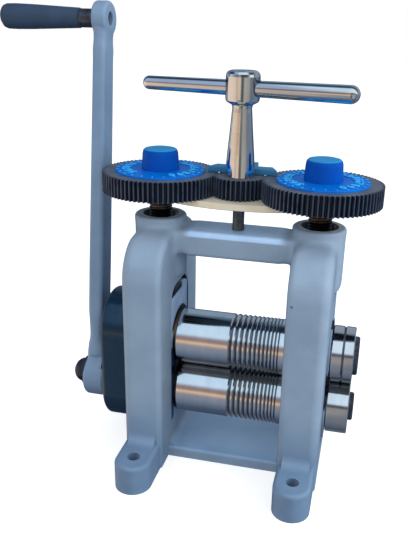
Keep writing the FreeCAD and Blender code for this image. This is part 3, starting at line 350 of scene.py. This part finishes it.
def between(value, low, start, end, high):
    """1 from start to end, falling to 0 at low and at high."""
    rise = min(max((value - low) / (start - low), 0.0), 1.0)
    fall = min(max((high - value) / (high - end), 0.0), 1.0)
    return rise * fall


def middle(node, axis):
    """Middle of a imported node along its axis 0, 1 or 2."""
    low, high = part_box(node)
    return (low[axis] + high[axis]) / 2


SCREW_X = middle("right_screw", 0)
LOW_AXIS = middle("lower_roll", 2)
HIGH_AXIS = middle("upper_roll", 2)
BOSS_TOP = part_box("frame")[1].z
UPRIGHT_INSIDE = 0.0530
UPRIGHT_OUTSIDE = 0.0852
WINDOW_HALF = 0.0277
WINDOW_FOOT = 0.0300
WINDOW_HEAD = 0.1640
LUG_HOLE_Y = 0.0822
LUG_HOLE_RADIUS = 0.0053
BASE_TOP = 0.0100
BASE_HALF = 0.0360
BAR_TOP = 0.2080
MOUTH_RADIUS = 0.0152
SEAM_HEIGHT = 0.1668
ROOT_REACH = (0.019, 0.0215, 0.032, 0.040)
ROOT_WIDTH = (0.038, 0.048, 0.200, 0.300)
ROOT_HEIGHT = (0.166, 0.176, 0.2130, 0.2172)
FRAME_GRAIN = 0.0009
FRAME_PASSES = 190
WELD = 0.000002
FRAME_PALE = (0.296, 0.372, 0.462)
FRAME_DEEP = (0.250, 0.322, 0.412)
PAINTED_SHADE_BLACK = (0.006, 0.010, 0.020)


def boss_softness(place):
    """Only the roots of the bosses and of the top bar are soft."""
    from_screw = math.hypot(abs(place.x) - SCREW_X, place.y)
    root = between(from_screw, *ROOT_REACH)
    return root * between(abs(place.x), *ROOT_WIDTH) * between(place.z, *ROOT_HEIGHT)


def sharpened(bm, angle):
    """Smooth shading that breaks only at real edges."""
    for face in bm.faces:
        face.smooth = True
    for edge in bm.edges:
        edge.smooth = len(edge.link_faces) != 2 or edge.calc_face_angle() < angle


def enamel(name, pale, deep):
    """Sprayed enamel over a casting: its finish, colour, relief, worn edges and skin."""
    coat = Finish(name, {"IOR": 1.5, "Coat Roughness": 0.15})
    mottle = coat.place.noise(26.0, 4.0, 0.6)
    peel = coat.place.noise(900.0, 2.0)
    skin = coat.place.noise(150.0, 5.0, 0.65)
    pits = 1.0 - coat.place.cells(230.0).ramp(0.03, 0.10)
    worn = coat.edge.ramp(0.55, 0.63) * coat.place.noise(90.0, 3.0).ramp(0.45, 0.75)
    colour = mottle.ramp(0.3, 0.7).blend(deep, pale)
    colour = (worn * 0.35).blend(colour, [c * 1.5 for c in pale])
    colour = (pits * 0.35).blend(colour, [c * 0.35 for c in deep])
    return coat, colour, peel * 0.2 + skin * 0.9 - pits * 0.5, worn, skin


frame_coat, colour, relief, worn, skin = enamel("frame_enamel", FRAME_PALE, FRAME_DEEP)
across = frame_coat.place.axis("X")
along = frame_coat.place.axis("Y")
up = frame_coat.place.axis("Z")
width = abs(across)
depth = abs(along)

# Painted shade makes the legs and lugs darker and greyer low down, and painted light
# makes the plate between them paler. The bolt holes carry painted shade, and two chips show.
low_leg_shade = (1.0 - up.ramp(0.012, 0.090)) * depth.ramp(0.020, 0.062)
colour = low_leg_shade.blend(colour, colour.scaled(0.53, 0.64, 0.75))
plate_light = (1.0 - up.ramp(BASE_TOP, BASE_TOP + 0.0040)) * (1.0 - width.ramp(0.044, 0.052))
plate_light = plate_light * (1.0 - depth.ramp(BASE_HALF, BASE_HALF + 0.0015))
colour = plate_light.blend(colour, colour.scaled(1.08, 1.25, 1.40))
bolt_hole_shade = 1.0 - reach(width - SCREW_X, depth - LUG_HOLE_Y).ramp(LUG_HOLE_RADIUS, LUG_HOLE_RADIUS + 0.0004)
colour = bolt_hole_shade.blend(colour, (0.045, 0.075, 0.140))
chips = frame_coat.near(0.0561, -0.0600, 0.1725)
chips = chips.maths("MINIMUM", chips, frame_coat.near(0.0793, -0.0942, 0.0225))
colour = ((1.0 - chips.ramp(0.0006, 0.0017)) * 0.7).blend(colour, (0.05, 0.06, 0.09))

# Painted light: the inner faces behind the windows and the top of the bar are paler.
window_flank_light = along.ramp(0.0222, 0.0226) * width.ramp(0.0490, 0.0500)
window_flank_light = window_flank_light * (1.0 - width.ramp(UPRIGHT_INSIDE - 0.0005, UPRIGHT_INSIDE))
window_flank_light = window_flank_light * up.within(0.0200, 0.1850, 0.020)
colour = window_flank_light.blend(colour, colour.scaled(1.75, 1.70, 1.60))
bar_top_light = up.ramp(BAR_TOP, BAR_TOP + 0.0015) * (1.0 - width.ramp(0.036, 0.046))
colour = bar_top_light.blend(colour, colour.scaled(1.90, 2.05, 2.20))

# Painted shade: the windows are black inside, and a painted shadow of the rolls darkens
# the right upright's side round the roll ends.
window_shade = width.within(UPRIGHT_INSIDE, UPRIGHT_OUTSIDE, 0.0006) * up.within(WINDOW_FOOT, WINDOW_HEAD, 0.0005)
window_shade = window_shade * (1.0 - depth.ramp(WINDOW_HALF, WINDOW_HALF + 0.0007))
shade_edge_noise = frame_coat.place.noise(160.0, 4.0, 0.6) * 0.006
from_rolls = reach(along, up - HIGH_AXIS)
from_rolls = from_rolls.maths("MINIMUM", from_rolls, reach(along, up - LOW_AXIS))
roll_end_shade = across.ramp(0.0830, 0.0850) * (1.0 - (from_rolls + shade_edge_noise).ramp(0.029, 0.047)) * 0.75
colour = window_shade.maths("MAXIMUM", window_shade, roll_end_shade).blend(colour, PAINTED_SHADE_BLACK)

# Bare iron round the mouths of the bosses, and painted shade inside them.
rim = reach(width - SCREW_X, along)
ragged = frame_coat.place.noise(380.0, 3.0, 0.6) * 0.0016
bare = (1.0 - (rim + ragged).ramp(0.0186, 0.0196)) * up.ramp(BOSS_TOP - 0.0030, BOSS_TOP - 0.0010)
iron = frame_coat.place.noise(700.0, 3.0).ramp(0.35, 0.65).blend((0.42, 0.40, 0.37), (0.60, 0.58, 0.54))
bore_shade = (1.0 - rim.ramp(MOUTH_RADIUS, MOUTH_RADIUS + 0.0004)) * up.ramp(0.190, 0.192)
colour = bore_shade.blend((bare * 0.85).blend(colour, iron), PAINTED_SHADE_BLACK)
frame_coat.varies("Base Color", colour)
frame_coat.varies("Metallic", bare * 0.1)
frame_coat.varies("Roughness", 0.36 + skin * 0.14 - bare * 0.05)
frame_coat.varies("Coat Weight", (0.22 - worn * 0.2) * (1.0 - bare))
frame_coat.bumps(relief, 0.00025)


def cut_at_seam(bm, way):
    """Cut off what lies above the seam, for a way of 1, or below it, for -1."""
    bmesh.ops.bisect_plane(bm, geom=bm.verts[:] + bm.edges[:] + bm.faces[:],
                           plane_co=(0, 0, SEAM_HEIGHT), plane_no=(0, 0, way), clear_outer=True)


# The soft upper part of the casting and its crisp lower part meet under the bosses.
casting = bmesh.new()
casting.from_mesh(cast("frame", FRAME_GRAIN, boss_softness, FRAME_PASSES))
cut_at_seam(casting, -1)
for face in casting.faces:
    face.smooth = True
for edge in casting.edges:
    edge.smooth = True
lower = bmesh.new()
lower.from_mesh(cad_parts["frame"].data)
bmesh.ops.remove_doubles(lower, verts=lower.verts, dist=WELD)
cut_at_seam(lower, 1)
sharpened(lower, math.radians(34))
lower_mesh = bpy.data.meshes.new("lower_casting")
lower.to_mesh(lower_mesh)
lower.free()
casting.from_mesh(lower_mesh)
casting_mesh = bpy.data.meshes.new("frame_casting")
casting.to_mesh(casting_mesh)
casting.free()
frame_casting = added(casting_mesh, "frame_casting", "frame", frame_coat, "frame")
frame_casting.visible_glossy = False


# Bearings: cast iron blocks sprayed with the frame, with painted shade between the rolls
# and in their gaps, glossy with grease between the rolls, and turned bronze bushes and
# nuts, dark with oil but for their tops.

BLOCK_FACE = 0.0536
BLOCK_PALE = (0.270, 0.352, 0.470)
BLOCK_DEEP = (0.215, 0.290, 0.400)
BLOCK_SHADE_BLACK = (0.004, 0.009, 0.022)
FRONT_SHADE_NAVY = (0.002, 0.035, 0.130)
BRONZE_DARK = (0.030, 0.020, 0.016)
BRONZE_WORN = (0.075, 0.048, 0.030)
BRONZE_CLEAN = (0.50, 0.29, 0.18)
block_coat, colour, relief, worn, skin = enamel("block_enamel", BLOCK_PALE, BLOCK_DEEP)
along = block_coat.place.axis("Y")
up = block_coat.place.axis("Z")
width = abs(block_coat.place.axis("X"))
inner = 1.0 - width.ramp(BLOCK_FACE, BLOCK_FACE + 0.0008)
ragged = block_coat.place.noise(120.0, 3.0) * 0.004
# Painted shade: black in a band between the rolls, round the upper roll's shoulder, on the hidden faces and
# in the gaps at the top and back; the band is also glossier with grease.
grease_and_shade = (up + ragged).ramp(0.066, 0.070) * (1.0 - (up + ragged).ramp(0.100, 0.106))
ring = reach(up - HIGH_AXIS, along) + ragged * 0.4
ring = ring.within(0.0236, 0.0290, 0.0010) * up.ramp(0.1180, 0.1230)
hidden_face_shade = width.within(BLOCK_FACE, 0.0850, 0.0006)
top_gap_shade = inner * along.within(-0.0260, 0.0040, 0.006) * (up + ragged * 0.3).ramp(0.1525, 0.1540)
back_gap_shade = inner * along.ramp(0.0225, 0.0240) * up.ramp(0.1180, 0.1230)
black = 1.0 - (1.0 - grease_and_shade) * (1.0 - ring) * (1.0 - hidden_face_shade) * (1.0 - top_gap_shade) * (1.0 - back_gap_shade)
colour = (inner * up.ramp(0.110, 0.118)).blend(colour, colour.scaled(1.55, 1.55, 1.55))
colour = black.blend(colour, BLOCK_SHADE_BLACK)
# Painted shade: a navy strip on the front of the inner faces beside the roll ends.
front_edge_shade = inner * (1.0 - along.ramp(-0.0215, -0.0190)) * up.within(0.033, 0.104, 0.003)
block_coat.varies("Base Color", front_edge_shade.blend(colour, FRONT_SHADE_NAVY))
block_coat.varies("Roughness", 0.38 + skin * 0.14 - grease_and_shade * 0.12)
block_coat.bumps(relief, 0.0002)
bronze = Finish("bush_bronze", {"Metallic": 1.0})
turned = bronze.place.scaled(2600.0, 200.0, 200.0).noise(1.0, 3.0)
patina = bronze.place.noise(90.0, 4.0, 0.6)
crown = bronze.place.axis("Z").ramp(0.112, 0.124)
tone = patina.ramp(0.3, 0.7).blend(BRONZE_DARK, BRONZE_WORN)
bronze.varies("Base Color", crown.blend(tone, BRONZE_CLEAN))
bronze.varies("Roughness", 0.30 + turned * 0.2)
bronze.bumps(turned, 0.000008)
for side in ("left", "right"):
    dress(side + "_screw_nut", bronze)
    for level_name in ("upper", "lower"):
        dress(side + "_" + level_name + "_block", block_coat)
        dress(side + "_" + level_name + "_bush", bronze)


# Rolls and short roll ends: hardened steel ground and lapped to a mirror, with the
# finest lines of the wheel running round them. The grooves keep a film of grey oil.

ROLL_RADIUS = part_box("lower_roll")[1].z - LOW_AXIS
STEEL = (0.86, 0.87, 0.88)
OIL_FILM = (0.16, 0.17, 0.19)


def ground_steel(name, height):
    """Steel ground round an axis along X, at a height."""
    steel = Finish(name, {"Metallic": 1.0})
    lines = steel.place.scaled(5200.0, 60.0, 60.0).noise(1.0, 3.0, 0.6)
    smear = steel.place.scaled(60.0, 30.0, 30.0).noise(1.0, 4.0, 0.6)
    spread = reach(steel.place.axis("Z") - height, steel.place.axis("Y"))
    film = 1.0 - spread.ramp(ROLL_RADIUS - 0.0012, ROLL_RADIUS - 0.0001)
    tone = smear.ramp(0.35, 0.7).blend([c * 0.88 for c in STEEL], STEEL)
    steel.varies("Base Color", (film * 0.12).blend(tone, OIL_FILM))
    steel.varies("Roughness", 0.08 + lines * 0.07 + smear.ramp(0.4, 0.8) * 0.05 + film * 0.06)
    steel.bumps(lines, 0.0000035)
    return steel


for level_name, axis_height in (("upper", HIGH_AXIS), ("lower", LOW_AXIS)):
    roll_steel = ground_steel(level_name + "_roll_steel", axis_height)
    dress(level_name + "_roll", roll_steel)
    dress(level_name + "_side_roll", roll_steel)


# Gear cover: deep pressed steel with a round end above and below, enamelled glossy
# black, with a little dust.

COVER_BLACK = (0.008, 0.024, 0.046)
COVER_DUST = (0.10, 0.13, 0.17)
cover_black = Finish("cover_black", {"IOR": 1.5, "Specular IOR Level": 0.75,
                                     "Specular Tint": (0.50, 0.80, 1.0, 1.0)})
wave = cover_black.place.noise(60.0, 3.0)
dust = cover_black.place.noise(420.0, 4.0, 0.7).ramp(0.55, 0.8)
cover_black.varies("Base Color", (dust * 0.12).blend(COVER_BLACK, COVER_DUST))
cover_black.varies("Roughness", 0.12 + dust * 0.25)
cover_black.bumps(wave + dust * 0.1, 0.0003)
dress("gear_cover", cover_black)


# Crank arm: cast in one with its hub and handle boss, thickest in its lower third and
# sprayed a little darker than the frame. The same paint covers its key and the
# heads of the cover's screws.

CRANK_TILT = math.radians(8.0)
ARM_MIDDLE = -0.1337
ARM_SWELL = 0.22
ARM_WAIST = (0.026, 0.060, 0.110, 0.290)
ARM_ROOT = (0.004, 0.014, 0.046, 0.066)
ARM_NECK = (0.300, 0.307, 0.313, 0.317)
HUB_RADIUS = 0.0165
CRANK_GRAIN = 0.0007
CRANK_PASSES = 200
CRANK_PALE = (0.215, 0.303, 0.418)
CRANK_DEEP = (0.182, 0.262, 0.368)


def along_arm(place):
    """How far up the arm a place of the crank lies."""
    return place.y * math.sin(CRANK_TILT) + (place.z - LOW_AXIS) * math.cos(CRANK_TILT)


def arm_softness(place):
    """The root of the arm is soft, and the neck under the eye a little."""
    along = along_arm(place)
    off_hub = min(max((math.hypot(place.y, place.z - LOW_AXIS) - HUB_RADIUS) / 0.002, 0.0), 1.0)
    return max(off_hub * between(along, *ARM_ROOT), 0.6 * between(along, *ARM_NECK))


crank_coat, colour, relief, worn, skin = enamel("crank_enamel", CRANK_PALE, CRANK_DEEP)
crank_coat.varies("Base Color", colour)
crank_coat.varies("Roughness", 0.34 + skin * 0.14)
crank_coat.varies("Coat Weight", 0.3 - worn * 0.25)
crank_coat.bumps(relief, 0.0002)
crank = cast("crank_arm", CRANK_GRAIN, arm_softness, CRANK_PASSES)
for vertex in crank.vertices:
    swell = ARM_SWELL * between(along_arm(vertex.co), *ARM_WAIST)
    vertex.co.x += (vertex.co.x - ARM_MIDDLE) * swell
for face in crank.polygons:
    face.use_smooth = True
added(crank, "crank_casting", "lower_roll", crank_coat, "crank_arm")
dress("crank_key", crank_coat)
dress("cover_screws", crank_coat)


# Grip: moulded dark plastic, dulled by hands, free on its spindle.

def moulded(name, colour, pale, roughness, grain, raised_from=None):
    """Moulded plastic with a fine tool grain, small scuffs and paler raised tops: rubbed marks on a disc,
    painted light on a cap.
    """
    plastic = Finish(name, {"IOR": 1.45, "Specular IOR Level": 0.12})
    tooth = plastic.place.noise(2600.0, 2.0)
    sheen = plastic.place.noise(60.0, 3.0)
    scuffs = plastic.place.scaled(70.0, 900.0, 300.0).noise(1.0, 2.0).ramp(0.66, 0.74)
    tone = sheen.ramp(0.3, 0.7).blend([c * 0.86 for c in colour], colour)
    tone = (scuffs * 0.15).blend(tone, pale)
    if raised_from:
        tops = plastic.place.axis("Z").ramp(raised_from, raised_from + 0.0003)
        tone = (tops * (0.6 + plastic.place.noise(300.0, 3.0) * 0.5)).blend(tone, pale)
    plastic.varies("Base Color", tone)
    plastic.varies("Roughness", roughness + sheen * 0.1 + scuffs * 0.12)
    plastic.bumps(tooth, grain)
    return plastic


GRIP_DARK = (0.046, 0.072, 0.118)
GRIP_RUBBED = (0.10, 0.14, 0.19)
grip_plastic = moulded("grip_plastic", GRIP_DARK, GRIP_RUBBED, 0.30, 0.00002)
dress("grip", grip_plastic)


# Lifting screws: 20 mm steel with a rolled thread of 2.5 mm pitch, brown with old
# oil, a neck in the link plate, two flats that the dial gear drives, and a stud.

SCREW_STEPS = 72
SCREW_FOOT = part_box("right_screw")[0].z
SCREW_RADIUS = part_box("right_screw")[1].y
THREAD_PITCH = 0.0025
THREAD_DEPTH = 0.0014
THREAD_START = 0.1610
THREAD_END = 0.2362
THREAD_ROWS = 330
NECK_FOOT = 0.2369
NECK_RADIUS = 0.0090
GEAR_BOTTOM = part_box("right_dial_gear")[0].z
GEAR_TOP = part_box("right_dial_gear")[1].z
SEAT_RADIUS = 0.0080
FLAT_HALF = 0.0064
STUD_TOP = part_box("right_screw")[1].z
STUD_RADIUS = 0.0060
SCREW_BROWN = (0.12, 0.075, 0.055)
SCREW_WORN = (0.40, 0.31, 0.25)
SCREW_SHADE_BLACK = (0.010, 0.011, 0.016)


def screw_thread(height, turn):
    """Right-hand thread with flat crests and rounded roots, which runs out at its ends."""
    cut = between(height, THREAD_START, THREAD_START + 0.002, THREAD_END - 0.0015, THREAD_END)
    depth = THREAD_DEPTH * cut
    phase = (height / THREAD_PITCH - turn / math.tau) % 1.0
    fall = min(max((abs(phase - 0.5) * 2.0 - 0.14) / 0.66, 0.0), 1.0)
    return SCREW_RADIUS - depth * fall * fall * (3 - 2 * fall) * 0.5 - depth * fall * 0.5


def flats(height, turn):
    """Round seat cut by two flats across Y."""
    return min(SEAT_RADIUS, FLAT_HALF / max(abs(math.sin(turn)), 0.01))


def spun(name, stations, steps, centre):
    """Closed body round an upright axis, from heights and functions or numbers of radius."""
    bm = bmesh.new()
    rings = []
    for height, radius in stations:
        ring = []
        for n in range(steps):
            turn = math.tau * n / steps
            r = radius(height, turn) if callable(radius) else radius
            place = (centre[0] + r * math.cos(turn), centre[1] + r * math.sin(turn), height)
            ring.append(bm.verts.new(place))
        rings.append(ring)
    for one, two in zip(rings, rings[1:]):
        for n in range(steps):
            bm.faces.new((one[n], one[(n + 1) % steps], two[(n + 1) % steps], two[n]))
    bm.faces.new(list(reversed(rings[0])))
    bm.faces.new(rings[-1])
    sharpened(bm, math.radians(38))
    mesh = bpy.data.meshes.new(name)
    bm.to_mesh(mesh)
    bm.free()
    return mesh


stations = [(SCREW_FOOT, 0.0072), (SCREW_FOOT + 0.0008, 0.0080), (0.1580, 0.0080), (0.1595, 0.0088)]
for row in range(THREAD_ROWS + 1):
    stations.append((THREAD_START + (THREAD_END - THREAD_START) * row / THREAD_ROWS, screw_thread))
stations += [(NECK_FOOT, SCREW_RADIUS), (NECK_FOOT, NECK_RADIUS), (GEAR_BOTTOM, NECK_RADIUS),
             (GEAR_BOTTOM, flats), (GEAR_TOP, flats), (GEAR_TOP, STUD_RADIUS),
             (STUD_TOP - 0.0005, STUD_RADIUS), (STUD_TOP, STUD_RADIUS - 0.0005)]
oiled = Finish("screw_steel", {"Metallic": 1.0})
crud = oiled.place.noise(190.0, 4.0, 0.65)
streaks = oiled.place.scaled(260.0, 260.0, 2600.0).noise(1.0, 3.0)
tone = crud.ramp(0.3, 0.7).blend(SCREW_BROWN, SCREW_WORN)
# Painted shade: the screw is dark low down, where it goes into its boss under the plate.
boss_shade = 1.0 - (oiled.place.axis("Z") + crud * 0.002).ramp(0.2275, 0.2300)
oiled.varies("Base Color", boss_shade.blend(tone, SCREW_SHADE_BLACK))
oiled.varies("Roughness", 0.26 + crud * 0.22 + streaks * 0.1)
oiled.bumps(crud + streaks * 0.3, 0.00003)
for side, centre_x in (("left", -SCREW_X), ("right", SCREW_X)):
    screw = spun("screw", stations, SCREW_STEPS, (centre_x, 0))
    added(screw, side + "_screw_thread", side + "_screw", oiled, side + "_screw")


# Link plate: laser-cut steel plate, zinc plated and yellow passivated, with painted
# shade on its underside.

PLATE_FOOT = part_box("link_plate")[0].z
ZINC_PALE = (1.0, 0.90, 0.72)
ZINC_DEEP = (0.95, 0.78, 0.54)
ZINC_UNDERSIDE_SHADE = (0.10, 0.16, 0.20)
zinc = Finish("plate_zinc", {"IOR": 1.5})
bloom = zinc.place.noise(55.0, 4.0, 0.6)
rolled = zinc.place.scaled(40.0, 40.0, 2500.0).noise(1.0, 3.0)
# Painted shade on the underside; zinc above it.
upper = zinc.place.axis("Z").ramp(PLATE_FOOT + 0.0001, PLATE_FOOT + 0.0005)
tone = bloom.ramp(0.3, 0.7).blend(ZINC_DEEP, ZINC_PALE)
zinc.varies("Base Color", upper.blend(ZINC_UNDERSIDE_SHADE, tone))
zinc.varies("Metallic", 0.25 + bloom * 0.2)
zinc.varies("Roughness", 0.38 + rolled * 0.16)
zinc.bumps(rolled, 0.00001)
dress("link_plate", zinc)


# Dial gears and drive pinion: hobbed from steel bar and blackened in hot oil. Only
# the lands of the teeth and the upper faces have rubbed to dark grey. The tooth gaps
# carry painted shade.

OXIDE_DARK = (0.011, 0.019, 0.041)
OXIDE_PALE = (0.024, 0.034, 0.060)
LAND_RUBBED = (0.120, 0.150, 0.215)
FACE_RUBBED = (0.135, 0.142, 0.170)
TOOTH_GAP_SHADE = (0.004, 0.007, 0.018)


def gear_black(name, axis_x, tip):
    """Blackened gear whose axis stands at X, with its tooth tips at a radius."""
    steel = Finish(name, {"IOR": 1.5, "Coat Roughness": 0.3})
    spread = reach(steel.place.axis("X") - axis_x, steel.place.axis("Y"))
    cloud = steel.place.noise(110.0, 5.0, 0.6)
    grain = steel.place.scaled(700.0, 700.0, 160.0).noise(1.0, 3.0)
    handling = steel.place.noise(60.0, 2.0)
    face = steel.place.axis("Z").ramp(GEAR_TOP - 0.00012, GEAR_TOP - 0.00004)
    land = spread.ramp(tip - 0.0005, tip - 0.00015)
    # Painted shade deep in the tooth gaps, but not on the faces.
    root = 1.0 - spread.ramp(tip - 0.0027, tip - 0.0008)
    rubbed = land * cloud.ramp(0.25, 0.6)
    tone = cloud.ramp(0.3, 0.75).blend(OXIDE_DARK, OXIDE_PALE)
    tone = (rubbed * 0.8).blend(tone, LAND_RUBBED)
    tone = (root * (1.0 - face) * 0.7).blend(tone, TOOTH_GAP_SHADE)
    tone = (face * (0.6 + handling.ramp(0.3, 0.7) * 0.4)).blend(tone, FACE_RUBBED)
    steel.varies("Base Color", tone)
    steel.varies("Metallic", 0.25 + rubbed * 0.45)
    steel.varies("Roughness", 0.36 + grain * 0.16 - rubbed * 0.06)
    steel.bumps(grain, 0.000012)
    return steel


DIAL_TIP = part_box("right_dial_gear")[1].y
PINION_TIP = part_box("drive_pinion")[1].y
dress("left_dial_gear", gear_black("left_gear_black", -SCREW_X, DIAL_TIP))
dress("right_dial_gear", gear_black("right_gear_black", SCREW_X, DIAL_TIP))
dress("drive_pinion", gear_black("pinion_black", 0.0, PINION_TIP))


# Number discs and caps: moulded in blue. A disc carries 25 raised divisions, one for
# each tenth of a millimetre that a turn lifts, and figures left and right of the cap.

DISC_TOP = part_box("right_dial_disc")[1].z
DISC_RADIUS = 0.038
DIVISIONS = 25
DIGIT_HEIGHT = 0.0098
DIGIT_RING = 0.0284
DIGIT_ARC = math.radians(62)
MARK_START = 0.0348
MARK_END = DISC_RADIUS - 0.0008
MARK_WIDTH = 0.0009
MARK_RISE = 0.0008
MARK_SUNK = 0.0002
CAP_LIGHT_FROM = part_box("right_dial_cap")[1].z - 0.0011
BLUE = (0.0002, 0.140, 0.56)
PALE_BLUE = (0.04, 0.43, 0.82)
CAP_BLUE = (0.0, 0.069, 0.365)
CAP_SCUFF_AND_TOP_LIGHT = (0.02, 0.26, 0.50)
disc_blue = moulded("disc_blue", BLUE, PALE_BLUE, 0.36, 0.000012, DISC_TOP + 0.0001)
# Painted light: the top of each cap is paler.
cap_blue = moulded("cap_blue", CAP_BLUE, CAP_SCUFF_AND_TOP_LIGHT, 0.38, 0.000014, CAP_LIGHT_FROM)


def bar_between(bm, first, last, width, low, high):
    """Raised bar with a sloped edge from one point of the disc to another."""
    along = (last - first).normalized()
    across = Vector((-along.y, along.x, 0)) * (width / 2)
    foot = [first - across, last - across, last + across, first + across]
    crown = [p + (((first + last) / 2 - p) * 0.12) for p in foot]
    below = [bm.verts.new((p.x, p.y, low)) for p in foot]
    above = [bm.verts.new((p.x, p.y, high)) for p in crown]
    bm.faces.new(above)
    for n in range(4):
        bm.faces.new((below[n], below[(n + 1) % 4], above[(n + 1) % 4], above[n]))


def number_mesh(words, height, rise):
    """Raised figures, flat on the disc, centred on the origin."""
    writing = bpy.data.curves.new("figures", "FONT")
    writing.body = words
    writing.size = height
    writing.align_x = "CENTER"
    writing.align_y = "CENTER"
    writing.extrude = rise / 2
    writing.bevel_depth = rise * 0.18
    writing.offset = height * 0.022
    writing.resolution_u = 3
    return worked(writing, "figures")


def dial_marks(centre_x):
    """All divisions and numbers of one disc."""
    bm = bmesh.new()
    for number in range(DIVISIONS):
        turn = math.tau * number / DIVISIONS
        out = Vector((math.sin(turn), math.cos(turn), 0))
        bar_between(bm, out * MARK_START, out * MARK_END, MARK_WIDTH,
                    DISC_TOP - MARK_SUNK, DISC_TOP + MARK_RISE)
        if abs(math.sin(turn)) < math.cos(DIGIT_ARC):
            continue
        figures = number_mesh(str(number % 10), DIGIT_HEIGHT, MARK_RISE)
        seat = Matrix.Translation((0, DIGIT_RING, DISC_TOP + MARK_RISE / 2))
        figures.transform(Matrix.Rotation(-turn, 4, "Z") @ seat)
        bm.from_mesh(figures)
    bmesh.ops.translate(bm, verts=bm.verts, vec=(centre_x, 0, 0))
    mesh = bpy.data.meshes.new("dial_marks")
    bm.to_mesh(mesh)
    bm.free()
    return mesh


for side, centre_x in (("left", -SCREW_X), ("right", SCREW_X)):
    dress(side + "_dial_disc", disc_blue)
    dress(side + "_dial_cap", cap_blue)
    added(dial_marks(centre_x), side + "_dial_marks", side + "_screw", disc_blue)


# Keeper bar: moulded plate in a greener blue over the rims of the gears, with a
# broken edge all round, held by a black socket screw.

KEEPER_BREAK = 0.0008
KEEPER_BLUE = (0.048, 0.200, 0.365)
KEEPER_PALE = (0.12, 0.38, 0.58)
keeper_finish = moulded("keeper_blue", KEEPER_BLUE, KEEPER_PALE, 0.36, 0.000012)


def broken_edges(node, name, width, angle):
    """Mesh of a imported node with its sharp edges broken."""
    bm = bmesh.new()
    bm.from_mesh(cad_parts[node].data)
    bmesh.ops.remove_doubles(bm, verts=bm.verts, dist=WELD)
    bmesh.ops.dissolve_limit(bm, angle_limit=math.radians(2), verts=bm.verts, edges=bm.edges)
    mesh = bpy.data.meshes.new(name)
    bm.to_mesh(mesh)
    bm.free()
    mesh = worked(mesh, name, ("BEVEL", {"width": width, "segments": 2, "limit_method": "ANGLE",
                                         "angle_limit": math.radians(angle)}))
    bm = bmesh.new()
    bm.from_mesh(mesh)
    sharpened(bm, math.radians(40))
    bm.to_mesh(mesh)
    bm.free()
    return mesh


keeper = broken_edges("keeper_bar", "keeper", KEEPER_BREAK, 50)
added(keeper, "keeper_plate", "carriage", keeper_finish, "keeper_bar")


# T handle: turned steel stem and hub with a pressed-in bar, polished and chromed, with
# hairlines from wiping and the dull places of hands.

CHROME_DULL = (0.80, 0.79, 0.76)
CHROME_BRIGHT = (0.88, 0.87, 0.85)
chrome = Finish("handle_chrome", {"Metallic": 1.0})
hairlines = chrome.place.scaled(300.0, 300.0, 3800.0).noise(1.0, 3.0)
handled = chrome.place.noise(45.0, 4.0, 0.6)
chrome.varies("Base Color", handled.ramp(0.35, 0.7).blend(CHROME_DULL, CHROME_BRIGHT))
chrome.varies("Roughness", 0.06 + hairlines * 0.05 + handled.ramp(0.5, 0.8) * 0.07)
chrome.bumps(hairlines, 0.000002)
dress("t_handle_stem", chrome)
dress("t_handle_bar", chrome)


# Small steel parts: blackened nuts, screws, discs, keys, springs, spindle, guide pin and
# roll gears. The crank's domed nut is fuller than the plain one it stands for.

NUT_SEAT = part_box("crank_nut")[1].x
NUT_SWELL = (1.22, 1.13, 1.13)
PIN_GREY = (0.055, 0.062, 0.075)
SMALL_BLACK = (0.026, 0.028, 0.042)
EDGE_RUBBED = (0.26, 0.28, 0.31)


def blackened(name, colour, roughness):
    """Oil-blackened steel, rubbed bright on its edges."""
    steel = Finish(name, {"IOR": 1.5})
    cloud = steel.place.noise(120.0, 5.0, 0.6)
    grain = steel.place.scaled(900.0, 900.0, 220.0).noise(1.0, 3.0)
    rubbed = steel.edge.ramp(0.53, 0.62) * cloud.ramp(0.3, 0.65)
    tone = cloud.ramp(0.3, 0.75).blend(colour, [c * 1.7 for c in colour])
    steel.varies("Base Color", (rubbed * 0.6).blend(tone, EDGE_RUBBED))
    steel.varies("Metallic", 0.5 + rubbed * 0.4)
    steel.varies("Roughness", roughness + grain * 0.18 - rubbed * 0.08)
    steel.bumps(grain, 0.000012)
    return steel


dress("guide_pin", blackened("pin_steel", PIN_GREY, 0.34))
small_black = blackened("small_black", SMALL_BLACK, 0.32)
for node in ("keeper_post", "keeper_screw", "upper_end_disc", "lower_end_disc",
             "upper_end_screw", "lower_end_screw", "grip_spindle", "left_dial_nut",
             "right_dial_nut", "upper_circlip", "lower_circlip", "upper_gear_key",
             "lower_gear_key", "upper_side_key", "lower_side_key", "left_springs", "right_springs",
             "upper_roll_gear", "lower_roll_gear"):
    dress(node, small_black)
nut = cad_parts["crank_nut"].data.copy()
seat = Matrix.Translation((NUT_SEAT, 0, LOW_AXIS))
nut.transform(seat @ Matrix.Diagonal((*NUT_SWELL, 1.0)) @ seat.inverted())
added(nut, "crank_dome_nut", "lower_roll", small_black, "crank_nut")
